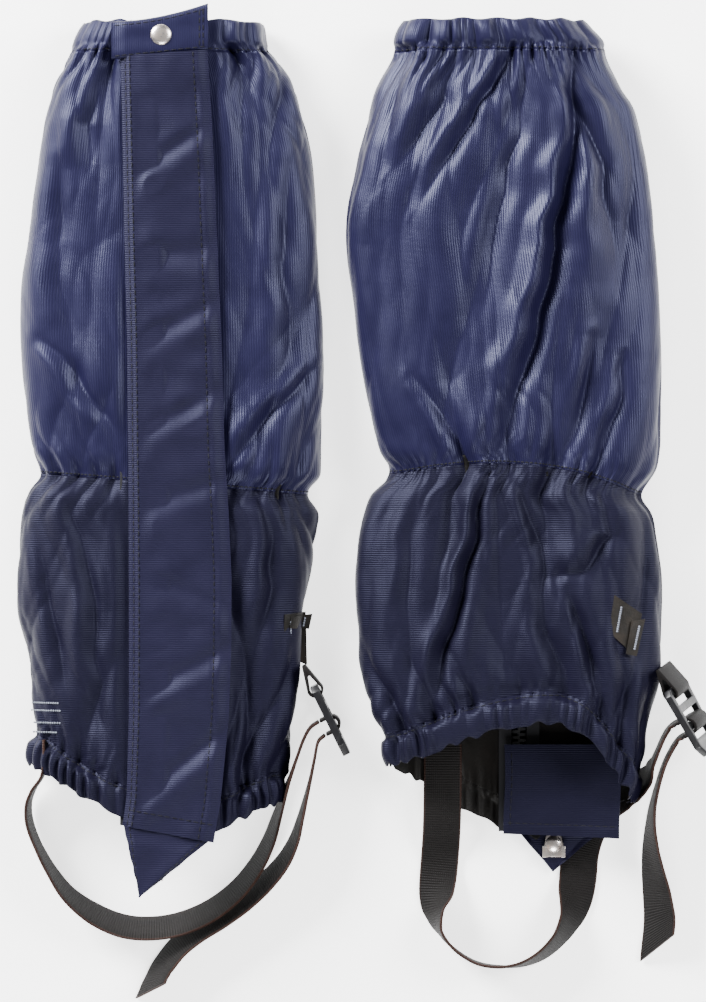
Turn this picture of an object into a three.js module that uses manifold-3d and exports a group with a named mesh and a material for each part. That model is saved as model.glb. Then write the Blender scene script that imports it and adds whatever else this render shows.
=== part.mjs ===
// A pair of front-opening gaiters laid flat: the left one face up, the right one face down.
// Millimetres. +Y points to the gaiters' top bands, +Z up from the surface they lie on.
// Each gaiter is a C-shaped sleeve of cloth sections, closed by a zip under a hinged storm flap.

import * as THREE from 'three';
import { mergeVertices } from 'three/addons/utils/BufferGeometryUtils.js';
import Module from 'manifold-3d';

const wasm = await Module();
wasm.setup();

// ---------------------------------------------------------------- driving dimensions

// The pair's middle, without its straps, in the drawing's own coordinates.
const PAIR_MIDDLE_X = 5.5;
const PAIR_MIDDLE_Y = 1;

const GAP = 0.3;                 // clearance between touching pieces
const SLEEVE_HEIGHT = 34;        // thickness of a sleeve lying on the table
const WALL = 1.5;                // cloth section thickness
const ARC_STEPS = 8;             // facets round each side of a sleeve

const TOP_EDGE = 226.5;          // y of the sleeve's upper edge
const TOP_BAND_HEIGHT = 16;      // elastic band casing
const ANKLE_Y = -16.5;           // mean y of the ankle seam
const ANKLE_SLANT = 5.5;         // ankle seam drops this much towards the outer side
const ANKLE_RISE = 10;           // ankle seam rises this much at the back
const ANKLE_ELASTIC_HEIGHT = 10;
const HEM_INNER_Y = -164;        // hem at the inner side
const HEM_OUTER_Y = -184;        // hem at the outer side
const HEM_FRONT_DROP = 29;       // hem drops this much at the front
const HEM_BACK_RISE = 36;        // hem rises this much at the back
const HEM_CASING_HEIGHT = 16;

const SLIT_HALF = 4.8;           // half width of the front opening in the cloth
const ZIP_FROM_FLAP_SEAM = 8;    // zip centre line, from the flap's sewn edge
const TAPE_UNDERLAP = 6;         // how far a zip tape runs under the cloth
const TAPE_THICKNESS = 0.8;
const TEETH_HALF = 2.6;
const TEETH_HEIGHT = 2.4;
const SLIDER_WALL = 0.7;
const SLIDER_LENGTH = 13;
const PULL_LENGTH = 24;
const PULL_WIDTH = 6.4;
const PULL_THICKNESS = 1.2;
const ZIP_STOP_LENGTH = 4;
const ZIP_BOX_LENGTH = 9;

const FLAP_WIDTH = 49;
const FLAP_THICKNESS = 1.6;
const FLAP_TOP_Y = 207;
const FLAP_BOTTOM_SEWN_Y = -194;
const FLAP_BOTTOM_FREE_Y = -203;
const FLAP_HOLLOW = 3;           // clear height between sleeve front and flap
const FLAP_RAMP = 3.4;           // the flap rises to its full height over this width
const FLAP_HINGE_Z = SLEEVE_HEIGHT + 1.3;
const TAB_HEIGHT = 21;           // flap's top band
const TAB_SLANT = 6;             // tab's free end sits higher by this much
const GUARD_WIDTH = 61;          // facing behind the zip's lower end
const GUARD_HEIGHT = 47;
const GUARD_THICKNESS = 0.8;
const HOOK_TAPE_WIDTH = 12;
const HOOK_TAPE_THICKNESS = 1;
const LOOP_TAPE_INSET = 3;       // closure tape, from the flap's free edge
const LOOP_TAPE_TOP_Y = 165;
const LOOP_TAPE_BOTTOM_Y = -150;
const TOE_TIP_DROP = 33;

const SNAP_RADIUS = 5.6;
const SNAP_CAP_HEIGHT = 1.8;
const SNAP_STUD_RADIUS = 2.4;
const SNAP_STUD_BASE_RADIUS = 4.6;
const SNAP_STUD_HEIGHT = 2;
const SNAP_SOCKET_HEIGHT = 1.2;
const SNAP_FROM_FLAP_SEAM = 19;
const SNAP_Y = 218;

const HOOK_WIDTH = 12;
const HOOK_HEIGHT = 14;
const HOOK_THICKNESS = 1.2;
const HOOK_RIVET_RADIUS = 3.2;

const STRAP_WIDTH = 20;
const STRAP_THICKNESS = 1.6;
const STRAP_STEPS = 62;
const TAIL_STEPS = 24;
const TAIL_CUT = 0.4;            // slant of the tail's end, share of the strap's width
const BUCKLE_LENGTH = 40;
const BUCKLE_WIDTH = 30;
const BUCKLE_THICKNESS = 4;
const BUCKLE_BAR = 4;
const SLOT_HEIGHT = 6;
const PATCH_LENGTH = 34;
const PATCH_THICKNESS = 0.8;
const LABEL_LENGTH = 24;
const LABEL_WIDTH = 9.5;
const LABEL_THICKNESS = 0.8;
const ANCHOR_Y = -112;           // where the buckle's anchor loop is sewn on

const H = SLEEVE_HEIGHT;
const R = H / 2;
const FLAP_UNDER = H + FLAP_HOLLOW;
const FLAP_OVER = FLAP_UNDER + FLAP_THICKNESS;
const STACK_HEIGHT = FLAP_OVER + SNAP_CAP_HEIGHT + GAP;

// Flattened width along each gaiter: [y, centre x, half width].
const LEFT = {
  prefix: 'left_',
  faceUp: true,
  flapSeamX: -121,
  stations: [
    [230, -96.5, 46.5], [209, -96.5, 53], [182, -96, 66], [146, -95, 73], [100, -96.5, 79],
    [60, -96.5, 79.5], [20, -96, 77.5], [-14, -96, 74], [-32, -101, 76.5], [-66, -102.5, 78],
    [-102, -103, 74], [-130, -104, 70.5], [-160, -105, 66], [-210, -105.5, 65],
  ],
  guardBottomY: -188,
  labelAngle: 48,
  buckleTurn: -64,
  anchorOffset: 2.8,
  buckleLean: 0,
  strap: [
    [-164.2, -151, 17, 90], [-164.2, -160, 17, 90], [-165.6, -170, 15.5, 90], [-170.5, -178, 13.5, 88],
    [-173.2, -186, 12, 86], [-172.5, -196, 11.4, 84], [-168, -208, 11.2, 84], [-161, -221, 11, 80],
    [-152, -233.5, 10, 72], [-139, -243.5, 9, 62], [-124, -250, 9, 58], [-109, -251.5, 9, 57],
    [-93, -249, 9, 57], [-77, -242, 9, 59], [-63.5, -231.5, 9, 62], [-53.5, -219, 9, 66],
    [-46.6, -206, 9.6, 71], [-42.4, -194, 11, 76], [-38.8, -183, 14, 82], [-35.2, -172, 16.6, 88],
    [-31.6, -161.5, 17, 90], [-28, -151.5, 17, 90], [-24.4, -145, 17, 90], [-20, -141.7, 17, 90],
  ],
  tail: [
    [-16.7, -148.8, 17, 90], [-20.2, -152.4, 17, 90], [-22, -161, 17, 90], [-24, -171, 16.6, 91],
    [-26.6, -182, 15.8, 94], [-29.4, -193, 14.8, 98], [-32.8, -204.5, 13.4, 104], [-38.8, -216, 12, 111],
    [-48.2, -227, 10, 117], [-59.4, -236.8, 9, 121], [-72, -245.6, 9, 123], [-84, -253, 9, 123],
    [-94, -261, 9, 123], [-101.8, -270.8, 9, 123], [-105.8, -278, 9, 123], [-108.8, -284.4, 9, 123],
  ],
};

const RIGHT = {
  prefix: 'right_',
  faceUp: false,
  flapSeamX: 78,
  stations: [
    [230, 74, 50], [209, 74.5, 53], [190, 77, 66], [160, 76, 74], [124, 75, 80], [80, 78.5, 80],
    [40, 82.5, 78.5], [6, 87, 73], [-14, 84, 68], [-32, 82, 75.5], [-62, 81.5, 79.5],
    [-110, 82, 78], [-140, 82, 71], [-166, 82.5, 66.5], [-210, 82.5, 65],
  ],
  guardBottomY: -201,
  labelAngle: -48,
  buckleTurn: -61,
  anchorOffset: 1.5,
  buckleLean: 25,
  strap: [
    [45.6, -154, 9.6, 0], [45.6, -166, 9.6, 0], [45.5, -179, 9.6, 0], [45.3, -192, 9.4, 0],
    [45, -202, 6.4, 0], [44.4, -212, 2.6, 0], [43.6, -222, 1.8, -6], [42.4, -233, 4.6, -24],
    [41.6, -243.5, 8.6, -62], [44.4, -253.5, 10.6, -84], [52, -262.5, 10.9, -88],
    [63.5, -269.5, 10.9, -88], [76, -271.5, 10.9, -86], [88, -270, 10, -78], [98.5, -265, 9.6, -70],
    [107, -257, 9.4, -64], [112.4, -248, 8, -52], [115.2, -239.5, 5, -32], [116.6, -231.5, 2, -10],
    [117.6, -224, 0.95, 0], [118.6, -213, 0.95, 0], [121.4, -202.5, 0.95, 0], [126.4, -192.5, 0.95, 0],
    [133.8, -184.4, 1.3, 2],
    [141.5, -179.6, 4, 24], [148.6, -176, 9, 50], [153.4, -171, 15, 74], [156, -163.5, 18.6, 88],
    [159.2, -155.5, 19, 90], [162.4, -148.6, 18.6, 90], [165.6, -144.2, 18.4, 90], [169.8, -141.5, 20.6, 90],
  ],
  tail: [
    [173.6, -148.4, 20.6, 90], [169.6, -151, 18.8, 90], [165.6, -157, 18.6, 90], [161.8, -165, 19, 90],
    [158.8, -175, 18, 91], [156.4, -186, 16, 94], [155.4, -197, 14, 100], [155.6, -208.5, 12.4, 110],
    [157, -220.5, 9.8, 122], [159, -233, 7.4, 134], [160.2, -247, 6, 142], [159.2, -262, 6.6, 144],
  ],
};

// ---------------------------------------------------------------- materials

const COLOURS = {
  shell: ['#2b2e5c', 0.45, 0.1],
  oxford: ['#272b4e', 0.7, 0],
  band: ['#2c2f55', 0.6, 0],
  black: ['#17171b', 0.8, 0],
  coated: ['#1d1b1b', 0.5, 0],
  webbing: ['#201a1a', 0.8, 0],
  plastic: ['#2f3034', 0.35, 0],
  nickel: ['#b9b5b2', 0.25, 1],
};

function material(name) {
  const [color, roughness, metalness] = COLOURS[name];
  return new THREE.MeshStandardMaterial({ color, roughness, metalness });
}

function piece(parent, name, geometry, finish) {
  const mesh = new THREE.Mesh(geometry, material(finish));
  mesh.name = name;
  parent.add(mesh);
  return mesh;
}

// ---------------------------------------------------------------- solids

function toSolid(geometry) {
  const bare = geometry.clone();
  bare.deleteAttribute('normal');
  bare.deleteAttribute('uv');
  const merged = mergeVertices(bare, 1e-4);
  return new wasm.Manifold(new wasm.Mesh({
    numProp: 3,
    vertProperties: new Float32Array(merged.attributes.position.array),
    triVerts: new Uint32Array(merged.index.array),
  }));
}

function toGeometry(solid) {
  const mesh = solid.getMesh();
  const geometry = new THREE.BufferGeometry();
  geometry.setAttribute('position', new THREE.BufferAttribute(mesh.vertProperties, 3));
  geometry.setIndex(new THREE.BufferAttribute(mesh.triVerts, 1));
  geometry.computeVertexNormals();
  return geometry;
}

// Joins rings of equal length into one closed solid with flat fans of quads at both ends.
// Each ring runs out along one side of a wall and back along the other.
function loft(rings) {
  const count = rings[0].length;
  const positions = rings.flat().flatMap((p) => [p.x, p.y, p.z]);
  const index = [];
  for (let k = 0; k + 1 < rings.length; k += 1) {
    for (let i = 0; i < count; i += 1) {
      const j = (i + 1) % count;
      const a = k * count + i;
      const b = k * count + j;
      index.push(a, b, b + count, a, b + count, a + count);
    }
  }
  const last = (rings.length - 1) * count;
  for (let i = 0; i + 1 < count / 2; i += 1) {
    const far = count - 1 - i;
    index.push(i, far, far - 1, i, far - 1, i + 1);
    index.push(last + i, last + far - 1, last + far, last + i, last + i + 1, last + far - 1);
  }
  const geometry = new THREE.BufferGeometry();
  geometry.setAttribute('position', new THREE.Float32BufferAttribute(positions, 3));
  geometry.setIndex(index);
  const solid = toSolid(geometry);
  if (solid.volume() > 0) return toGeometry(solid);
  const flipped = [];
  for (let i = 0; i < index.length; i += 3) flipped.push(index[i], index[i + 2], index[i + 1]);
  geometry.setIndex(flipped);
  return toGeometry(toSolid(geometry));
}

function box(x0, x1, y0, y1, z0, z1) {
  const geometry = new THREE.BoxGeometry(x1 - x0, y1 - y0, z1 - z0);
  geometry.translate((x0 + x1) / 2, (y0 + y1) / 2, (z0 + z1) / 2);
  return geometry;
}

// A flat piece: outline in XY, from z0 up.
function plate(points, z0, thickness, holes = []) {
  const shape = new THREE.Shape(points.map(([x, y]) => new THREE.Vector2(x, y)));
  for (const hole of holes) {
    shape.holes.push(new THREE.Path(hole.map(([x, y]) => new THREE.Vector2(x, y))));
  }
  const geometry = new THREE.ExtrudeGeometry(shape, { depth: thickness, bevelEnabled: false });
  geometry.translate(0, 0, z0);
  return geometry;
}

// A turned piece about a vertical axis at (x, y); the profile is [radius, z] pairs.
function turned(x, y, profile, segments = 16) {
  const geometry = new THREE.LatheGeometry(profile.map(([r, z]) => new THREE.Vector2(r, z)), segments);
  geometry.rotateX(Math.PI / 2);
  geometry.translate(x, y, 0);
  return geometry;
}

// ---------------------------------------------------------------- sleeve section

function lerp(a, b, t) {
  return a + (b - a) * t;
}

function stationAt(side, y) {
  const rows = side.stations;
  if (y >= rows[0][0]) return { cx: rows[0][1], hw: rows[0][2] };
  for (let i = 0; i + 1 < rows.length; i += 1) {
    const [y0, c0, w0] = rows[i];
    const [y1, c1, w1] = rows[i + 1];
    if (y >= y1) {
      const t = (y0 - y) / (y0 - y1);
      return { cx: lerp(c0, c1, t), hw: lerp(w0, w1, t) };
    }
  }
  const end = rows[rows.length - 1];
  return { cx: end[1], hw: end[2] };
}

// 1 at centre, falling to 0 at the two sides.
function bump(nx, centre, leftPower, rightPower) {
  const d = nx < centre ? (centre - nx) / (1 + centre) : (nx - centre) / (1 - centre);
  return 1 - Math.min(d, 1) ** (nx < centre ? leftPower : rightPower);
}

function hemY(nx, nz) {
  const sideY = lerp(HEM_INNER_Y, HEM_OUTER_Y, (nx + 1) / 2);
  if (nz > 0) return sideY - HEM_FRONT_DROP * nz * bump(nx, 0.1, 1.3, 1.3);
  return sideY - HEM_BACK_RISE * nz * bump(nx, 0.3, 1.3, 2.2);
}

function ankleY(nx, nz) {
  return ANKLE_Y - ANKLE_SLANT * nx + ANKLE_RISE * Math.max(0, -nz) * (1 - nx * nx);
}

// Places round a section, from the slit's outer edge over the outer side and the back
// to the slit's inner edge. Each is a position on a rounded rectangle of half height R.
function sectionPlaces(side) {
  const places = [];
  for (const t of [0, 0.5, 1]) places.push({ part: 'front', t });
  for (let i = 1; i < ARC_STEPS; i += 1) places.push({ part: 'outer', t: i / ARC_STEPS });
  for (const t of [0, 0.25, 0.5, 0.75, 1]) places.push({ part: 'back', t });
  for (let i = 1; i < ARC_STEPS; i += 1) places.push({ part: 'inner', t: i / ARC_STEPS });
  for (const t of [0, 0.5, 1]) places.push({ part: 'innerFront', t });
  return places;
}

function sectionPoint(side, place, y, inset) {
  const { cx, hw } = stationAt(side, y);
  const zipX = side.flapSeamX + ZIP_FROM_FLAP_SEAM;
  const flat = hw - R;
  const r = R - inset;
  const slitOuter = zipX + SLIT_HALF;
  const slitInner = zipX - SLIT_HALF;
  switch (place.part) {
    case 'front':
      return [lerp(slitOuter, Math.max(cx + flat, slitOuter + 4), place.t), R + r];
    case 'outer': {
      const angle = Math.PI / 2 - Math.PI * place.t;
      return [cx + flat + r * Math.cos(angle), R + r * Math.sin(angle)];
    }
    case 'back':
      return [lerp(cx + flat, cx - flat, place.t), R - r];
    case 'inner': {
      const angle = -Math.PI / 2 - Math.PI * place.t;
      return [cx - flat + r * Math.cos(angle), R + r * Math.sin(angle)];
    }
    default:
      return [lerp(Math.min(cx - flat, slitInner - 4), slitInner, place.t), R + r];
  }
}

// One ring of a sleeve wall between two insets, at a height that varies round the leg.
function sleeveRing(side, heightAt, insetOut, insetIn) {
  const places = sectionPlaces(side);
  const at = (place, inset) => {
    const [x0, z0] = sectionPoint(side, place, heightAt(0, 0), 0);
    const mid = stationAt(side, heightAt(0, 0));
    const nx = (x0 - mid.cx) / mid.hw;
    const nz = (z0 - R) / R;
    const y = heightAt(nx, nz);
    const [x, z] = sectionPoint(side, place, y, inset);
    return new THREE.Vector3(x, y, z);
  };
  const outside = places.map((place) => at(place, insetOut));
  const inside = places.map((place) => at(place, insetIn)).reverse();
  return [...outside, ...inside];
}

function sleeve(side, topAt, bottomAt, steps, insetOut = 0, insetIn = WALL) {
  const rings = [];
  for (let k = 0; k <= steps; k += 1) {
    const t = k / steps;
    const heightAt = (nx, nz) => lerp(topAt(nx, nz), bottomAt(nx, nz), t);
    rings.push(sleeveRing(side, heightAt, insetOut, insetIn));
  }
  return loft(rings);
}

// ---------------------------------------------------------------- webbing strap

// A flat strap through hand-placed points [x, y, z, roll]; roll 0 lies flat, 90 stands on edge.
function strapGeometry(points, steps, pointedTip) {
  const curve = new THREE.CatmullRomCurve3(points.map(([x, y, z]) => new THREE.Vector3(x, y, z)));
  const rings = [];
  for (let k = 0; k <= steps; k += 1) {
    const t = k / steps;
    const place = curve.getPoint(t);
    const along = curve.getTangent(t);
    const s = t * (points.length - 1);
    const i = Math.min(Math.floor(s), points.length - 2);
    const roll = THREE.MathUtils.degToRad(lerp(points[i][3], points[i + 1][3], s - i));
    const level = new THREE.Vector3(along.y, -along.x, 0).normalize();
    const up = new THREE.Vector3().crossVectors(level, along).normalize();
    const across = level.clone().multiplyScalar(Math.cos(roll)).addScaledVector(up, Math.sin(roll));
    const normal = new THREE.Vector3().crossVectors(along, across).normalize();
    const half = STRAP_WIDTH / 2;
    const lowest = half * Math.abs(across.z) + (STRAP_THICKNESS / 2) * Math.abs(normal.z) + 0.1;
    place.z = Math.max(place.z, lowest);
    const lead = pointedTip && k === steps ? STRAP_WIDTH * TAIL_CUT : 0;
    const corner = (u, v, shift) => place.clone()
      .addScaledVector(across, u)
      .addScaledVector(normal, v)
      .addScaledVector(along, shift);
    const h = STRAP_THICKNESS / 2;
    rings.push([corner(-half, h, lead), corner(half, h, -lead), corner(half, -h, -lead),
      corner(-half, -h, lead)]);
  }
  return loft(rings);
}

// ---------------------------------------------------------------- gaiter

function buildSleeve(group, side) {
  const name = (base) => side.prefix + base;
  const topSeam = TOP_EDGE - TOP_BAND_HEIGHT;
  const casing = (nx, nz) => hemY(nx, nz) + HEM_CASING_HEIGHT;
  const seam = GAP / 2;
  piece(group, name('top_band'),
    sleeve(side, () => TOP_EDGE, () => topSeam + seam, 2), 'band');
  piece(group, name('upper_panel'),
    sleeve(side, () => topSeam - seam, (nx, nz) => ankleY(nx, nz) + seam, 7), 'shell');
  const elasticHalf = ANKLE_ELASTIC_HEIGHT / 2;
  piece(group, name('ankle_elastic'), sleeve(
    side,
    (nx, nz) => ankleY(nx, nz) + elasticHalf,
    (nx, nz) => ankleY(nx, nz) - elasticHalf,
    2,
    WALL + 2 * GAP + TAPE_THICKNESS,
    WALL + 2 * GAP + TAPE_THICKNESS + 1.2,
  ), 'black');
  piece(group, name('lower_panel'),
    sleeve(side, (nx, nz) => ankleY(nx, nz) - seam, (nx, nz) => casing(nx, nz) + seam, 6), 'oxford');
  piece(group, name('hem_casing'),
    sleeve(side, (nx, nz) => casing(nx, nz) - seam, hemY, 2), 'oxford');
}

function buildZip(group, side) {
  const name = (base) => side.prefix + base;
  const zipX = side.flapSeamX + ZIP_FROM_FLAP_SEAM;
  const top = TOP_EDGE - TOP_BAND_HEIGHT - 3;
  const { cx, hw } = stationAt(side, HEM_OUTER_Y);
  const bottom = hemY((zipX - cx) / hw, 1) + 3;
  const tapeTop = H - WALL - GAP;
  const tapeEdge = TEETH_HALF + SLIDER_WALL + 2 * GAP;
  const tape = (from, to) => box(from, to, bottom, top, tapeTop - TAPE_THICKNESS, tapeTop);
  piece(group, name('zip_tape_inner'),
    tape(zipX - SLIT_HALF - TAPE_UNDERLAP, zipX - tapeEdge), 'black');
  piece(group, name('zip_tape_outer'),
    tape(zipX + tapeEdge, zipX + SLIT_HALF + TAPE_UNDERLAP), 'black');
  const teethTop = H - 0.4;
  const teethBottom = teethTop - TEETH_HEIGHT;
  const c = TEETH_HEIGHT * 0.3;
  const profile = [
    [-TEETH_HALF, teethBottom + c], [-TEETH_HALF + c, teethBottom], [TEETH_HALF - c, teethBottom],
    [TEETH_HALF, teethBottom + c], [TEETH_HALF, teethTop - c], [TEETH_HALF - c, teethTop],
    [-TEETH_HALF + c, teethTop], [-TEETH_HALF, teethTop - c],
  ];
  const teethLow = bottom + ZIP_BOX_LENGTH + GAP;
  const teethHigh = top - ZIP_STOP_LENGTH;
  const coil = plate(profile, 0, teethHigh + 1 - teethLow);
  coil.rotateX(Math.PI / 2);
  coil.translate(zipX, teethHigh + 1, 0);
  const stopHalf = tapeEdge - GAP;
  const topStop = box(zipX - stopHalf, zipX + stopHalf, teethHigh, top, teethBottom, teethTop);
  piece(group, name('zip_teeth'), toGeometry(toSolid(coil).add(toSolid(topStop))), 'plastic');
  piece(group, name('zip_box'),
    box(zipX - stopHalf, zipX + stopHalf, bottom, bottom + ZIP_BOX_LENGTH, teethBottom - 0.4,
      teethTop + 0.4), 'plastic');

  // Slider: a tube round the teeth with two lugs on top that hold the pull's pin end.
  const inX = TEETH_HALF + GAP;
  const outX = inX + SLIDER_WALL;
  const low = teethBottom - GAP;
  const high = teethTop + GAP;
  const ring = plate(
    [[-outX, low - SLIDER_WALL], [outX, low - SLIDER_WALL], [outX, high + SLIDER_WALL],
      [-outX, high + SLIDER_WALL]],
    0, SLIDER_LENGTH, [[[-inX, low], [-inX, high], [inX, high], [inX, low]]],
  );
  ring.rotateX(Math.PI / 2);
  const sliderTop = teethHigh - 2;
  ring.translate(zipX, sliderTop, 0);
  const deck = high + SLIDER_WALL;
  const lugHigh = FLAP_UNDER - 0.5;
  const lug = (x0) => box(x0, x0 + 0.9, sliderTop - 5, sliderTop - 2, deck - 0.3, lugHigh);
  const eyeHalf = 1.6;
  const solid = toSolid(ring)
    .add(toSolid(lug(zipX + eyeHalf + GAP)))
    .add(toSolid(lug(zipX - eyeHalf - GAP - 0.9)));
  piece(group, name('zip_slider'), toGeometry(solid), 'nickel');

  const pullZ = lugHigh - 0.1 - PULL_THICKNESS;
  const pinY = sliderTop - 3.5;
  const half = PULL_WIDTH / 2;
  const neckEnd = pinY - 3;
  const end = pinY - PULL_LENGTH;
  const outline = [
    [-eyeHalf, pinY + 0.7], [-eyeHalf, neckEnd], [-half, neckEnd - 3], [-half, end + 2],
    [-half + 2, end], [half - 2, end], [half, end + 2], [half, neckEnd - 3], [eyeHalf, neckEnd],
    [eyeHalf, pinY + 0.7],
  ];
  const hole = [[-1.4, end + 3], [-1.4, end + 6], [1.4, end + 6], [1.4, end + 3]];
  const pull = plate(outline, pullZ, PULL_THICKNESS, [hole]);
  pull.translate(zipX, 0, 0);
  piece(group, name('zip_pull'), pull, 'nickel');

  // Facing behind the zip: it clears the slider, then rises to the sleeve's front wall.
  const guardLow = low - SLIDER_WALL - GAP - GUARD_THICKNESS;
  const guardHigh = H - WALL - GAP - GUARD_THICKNESS;
  const line = [
    [side.flapSeamX, guardLow], [zipX + outX + 8, guardLow], [zipX + outX + 14, guardHigh],
    [side.flapSeamX + GUARD_WIDTH - 9, guardHigh], [side.flapSeamX + GUARD_WIDTH, guardHigh - 2.1],
  ];
  const outlineAt = (y) => [
    ...line, ...line.map(([x, z]) => [x, z + GUARD_THICKNESS]).reverse(),
  ].map(([x, z]) => new THREE.Vector3(x, y, z));
  piece(group, name('zip_guard'),
    prism([side.guardBottomY + GUARD_HEIGHT, side.guardBottomY].map(outlineAt)), 'oxford');
}

function buildFlap(group, side) {
  const name = (base) => side.prefix + base;
  const seamX = side.flapSeamX;
  const freeX = seamX + FLAP_WIDTH;
  // The seam strip rises from the sewn edge over the zip; flap and tab lie level beside it.
  const hingeHalf = FLAP_THICKNESS / 2;
  const stripX = seamX + FLAP_RAMP + 0.5;
  const strip = [
    [seamX, FLAP_HINGE_Z - hingeHalf], [seamX + 1.2, FLAP_HINGE_Z - hingeHalf], [stripX, FLAP_UNDER],
    [stripX, FLAP_OVER], [seamX + FLAP_RAMP, FLAP_OVER], [seamX, FLAP_HINGE_Z + hingeHalf],
  ];
  const cloth = [
    [stripX + GAP, FLAP_UNDER], [freeX, FLAP_UNDER], [freeX, FLAP_OVER], [stripX + GAP, FLAP_OVER],
  ];
  const between = (section, ...ends) => prism(ends.map(([sewnY, freeY]) => section.map(([x, z]) => (
    new THREE.Vector3(x, lerp(sewnY, freeY, (x - seamX) / FLAP_WIDTH), z)
  ))));
  const topEnd = [FLAP_TOP_Y, FLAP_TOP_Y + TAB_SLANT / 2];
  const bottomEnd = [FLAP_BOTTOM_SEWN_Y, FLAP_BOTTOM_FREE_Y];
  const tabHigh = [FLAP_TOP_Y + TAB_HEIGHT, FLAP_TOP_Y + TAB_HEIGHT + TAB_SLANT];
  piece(group, name('flap_seam'), between(strip, tabHigh, bottomEnd), 'oxford');
  piece(group, name('storm_flap'), between(cloth, topEnd, bottomEnd), 'oxford');

  const tabLow = topEnd.map((y) => y + GAP);
  const capHole = turned(seamX + SNAP_FROM_FLAP_SEAM, SNAP_Y,
    [[0, FLAP_UNDER - 2], [1.8, FLAP_UNDER - 2], [1.8, FLAP_OVER + 2], [0, FLAP_OVER + 2]]);
  const tab = toSolid(between(cloth, tabHigh, tabLow)).subtract(toSolid(capHole));
  piece(group, name('flap_tab'), toGeometry(tab), 'band');

  // Press stud: the stud on the sleeve's band, the socket and cap on the tab.
  const snapX = seamX + SNAP_FROM_FLAP_SEAM;
  const studTop = H + GAP + SNAP_STUD_HEIGHT;
  piece(group, name('snap_stud'), turned(snapX, SNAP_Y, [
    [0, H + GAP], [SNAP_STUD_BASE_RADIUS, H + GAP], [SNAP_STUD_BASE_RADIUS, H + GAP + 0.7],
    [SNAP_STUD_RADIUS, H + GAP + 0.9], [SNAP_STUD_RADIUS + 0.3, studTop - 0.5],
    [SNAP_STUD_RADIUS - 0.5, studTop],
    [0, studTop],
  ]), 'nickel');
  const socketIn = SNAP_STUD_RADIUS + 0.3 + GAP;
  const socketTop = FLAP_UNDER - GAP;
  piece(group, name('snap_socket'), turned(snapX, SNAP_Y, [
    [socketIn, socketTop - SNAP_SOCKET_HEIGHT], [SNAP_RADIUS - 0.6, socketTop - SNAP_SOCKET_HEIGHT],
    [SNAP_RADIUS, socketTop - 0.6], [SNAP_RADIUS, socketTop], [socketIn, socketTop],
    [socketIn, socketTop - SNAP_SOCKET_HEIGHT],
  ]), 'nickel');
  piece(group, name('snap_cap'), turned(snapX, SNAP_Y, [
    [0, socketTop], [1.5, socketTop], [1.5, FLAP_OVER + GAP], [SNAP_RADIUS, FLAP_OVER + GAP],
    [SNAP_RADIUS, FLAP_OVER + GAP + 0.7], [SNAP_RADIUS * 0.6, FLAP_OVER + SNAP_CAP_HEIGHT],
    [0, FLAP_OVER + GAP + SNAP_CAP_HEIGHT],
  ]), 'nickel');

  // Hook-and-loop closure along the free edge.
  const tapeX1 = freeX - LOOP_TAPE_INSET;
  const tapeX0 = tapeX1 - HOOK_TAPE_WIDTH;
  const hookLow = FLAP_UNDER - GAP - HOOK_TAPE_THICKNESS;
  piece(group, name('hook_tape'), box(tapeX0, tapeX1, LOOP_TAPE_BOTTOM_Y, LOOP_TAPE_TOP_Y,
    hookLow, FLAP_UNDER - GAP), 'black');
  piece(group, name('loop_tape'), box(tapeX0, tapeX1, LOOP_TAPE_BOTTOM_Y, LOOP_TAPE_TOP_Y,
    H + GAP, hookLow - GAP), 'black');

  // Toe tip below the flap with its lace hook and rivet.
  const slope = (FLAP_BOTTOM_FREE_Y - FLAP_BOTTOM_SEWN_Y) / FLAP_WIDTH;
  const edgeY = (x) => FLAP_BOTTOM_SEWN_Y + slope * (x - seamX) - GAP;
  const tipX = seamX + FLAP_WIDTH * (side.faceUp ? 0.2 : 0.52);
  const tipY = FLAP_BOTTOM_FREE_Y - TOE_TIP_DROP + (side.faceUp ? 4 : 14);
  const rivetX = tipX + (side.faceUp ? 4 : 1);
  const rivetY = tipY + 15;
  const rivetHole = turned(rivetX, rivetY,
    [[0, FLAP_UNDER - 2], [1.5, FLAP_UNDER - 2], [1.5, FLAP_OVER + 2], [0, FLAP_OVER + 2]], 12);
  const tip = toSolid(plate([
    [seamX + FLAP_RAMP, edgeY(seamX + FLAP_RAMP)], [tipX - 2, tipY], [tipX + 2, tipY],
    [freeX - 1, edgeY(freeX - 1)],
  ], FLAP_UNDER, FLAP_THICKNESS)).subtract(toSolid(rivetHole));
  piece(group, name('toe_tip'), toGeometry(tip), 'oxford');
  const w = HOOK_WIDTH / 2;
  const hookTop = rivetY + HOOK_HEIGHT / 2;
  const hookEnd = rivetY - HOOK_HEIGHT / 2;
  const hookZ = FLAP_UNDER - GAP - HOOK_THICKNESS;
  const hookPlate = toSolid(plate([
    [rivetX - w * 0.6, hookTop], [rivetX - w, hookEnd], [rivetX + w, hookEnd], [rivetX + w * 0.6, hookTop],
  ], hookZ, HOOK_THICKNESS));
  const prong = (x0) => toSolid(box(x0, x0 + 2, hookEnd, hookEnd + 1.2, hookZ - 3, hookZ + 0.5))
    .add(toSolid(box(x0, x0 + 2, hookEnd, hookEnd + 6, hookZ - 3, hookZ - 2)));
  const hook = hookPlate.add(prong(rivetX - w)).add(prong(rivetX + w - 2))
    .subtract(toSolid(turned(rivetX, rivetY,
      [[0, hookZ - 3], [1.5, hookZ - 3], [1.5, hookZ + 3], [0, hookZ + 3]], 12)));
  piece(group, name('lace_hook'), toGeometry(hook), 'nickel');
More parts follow.
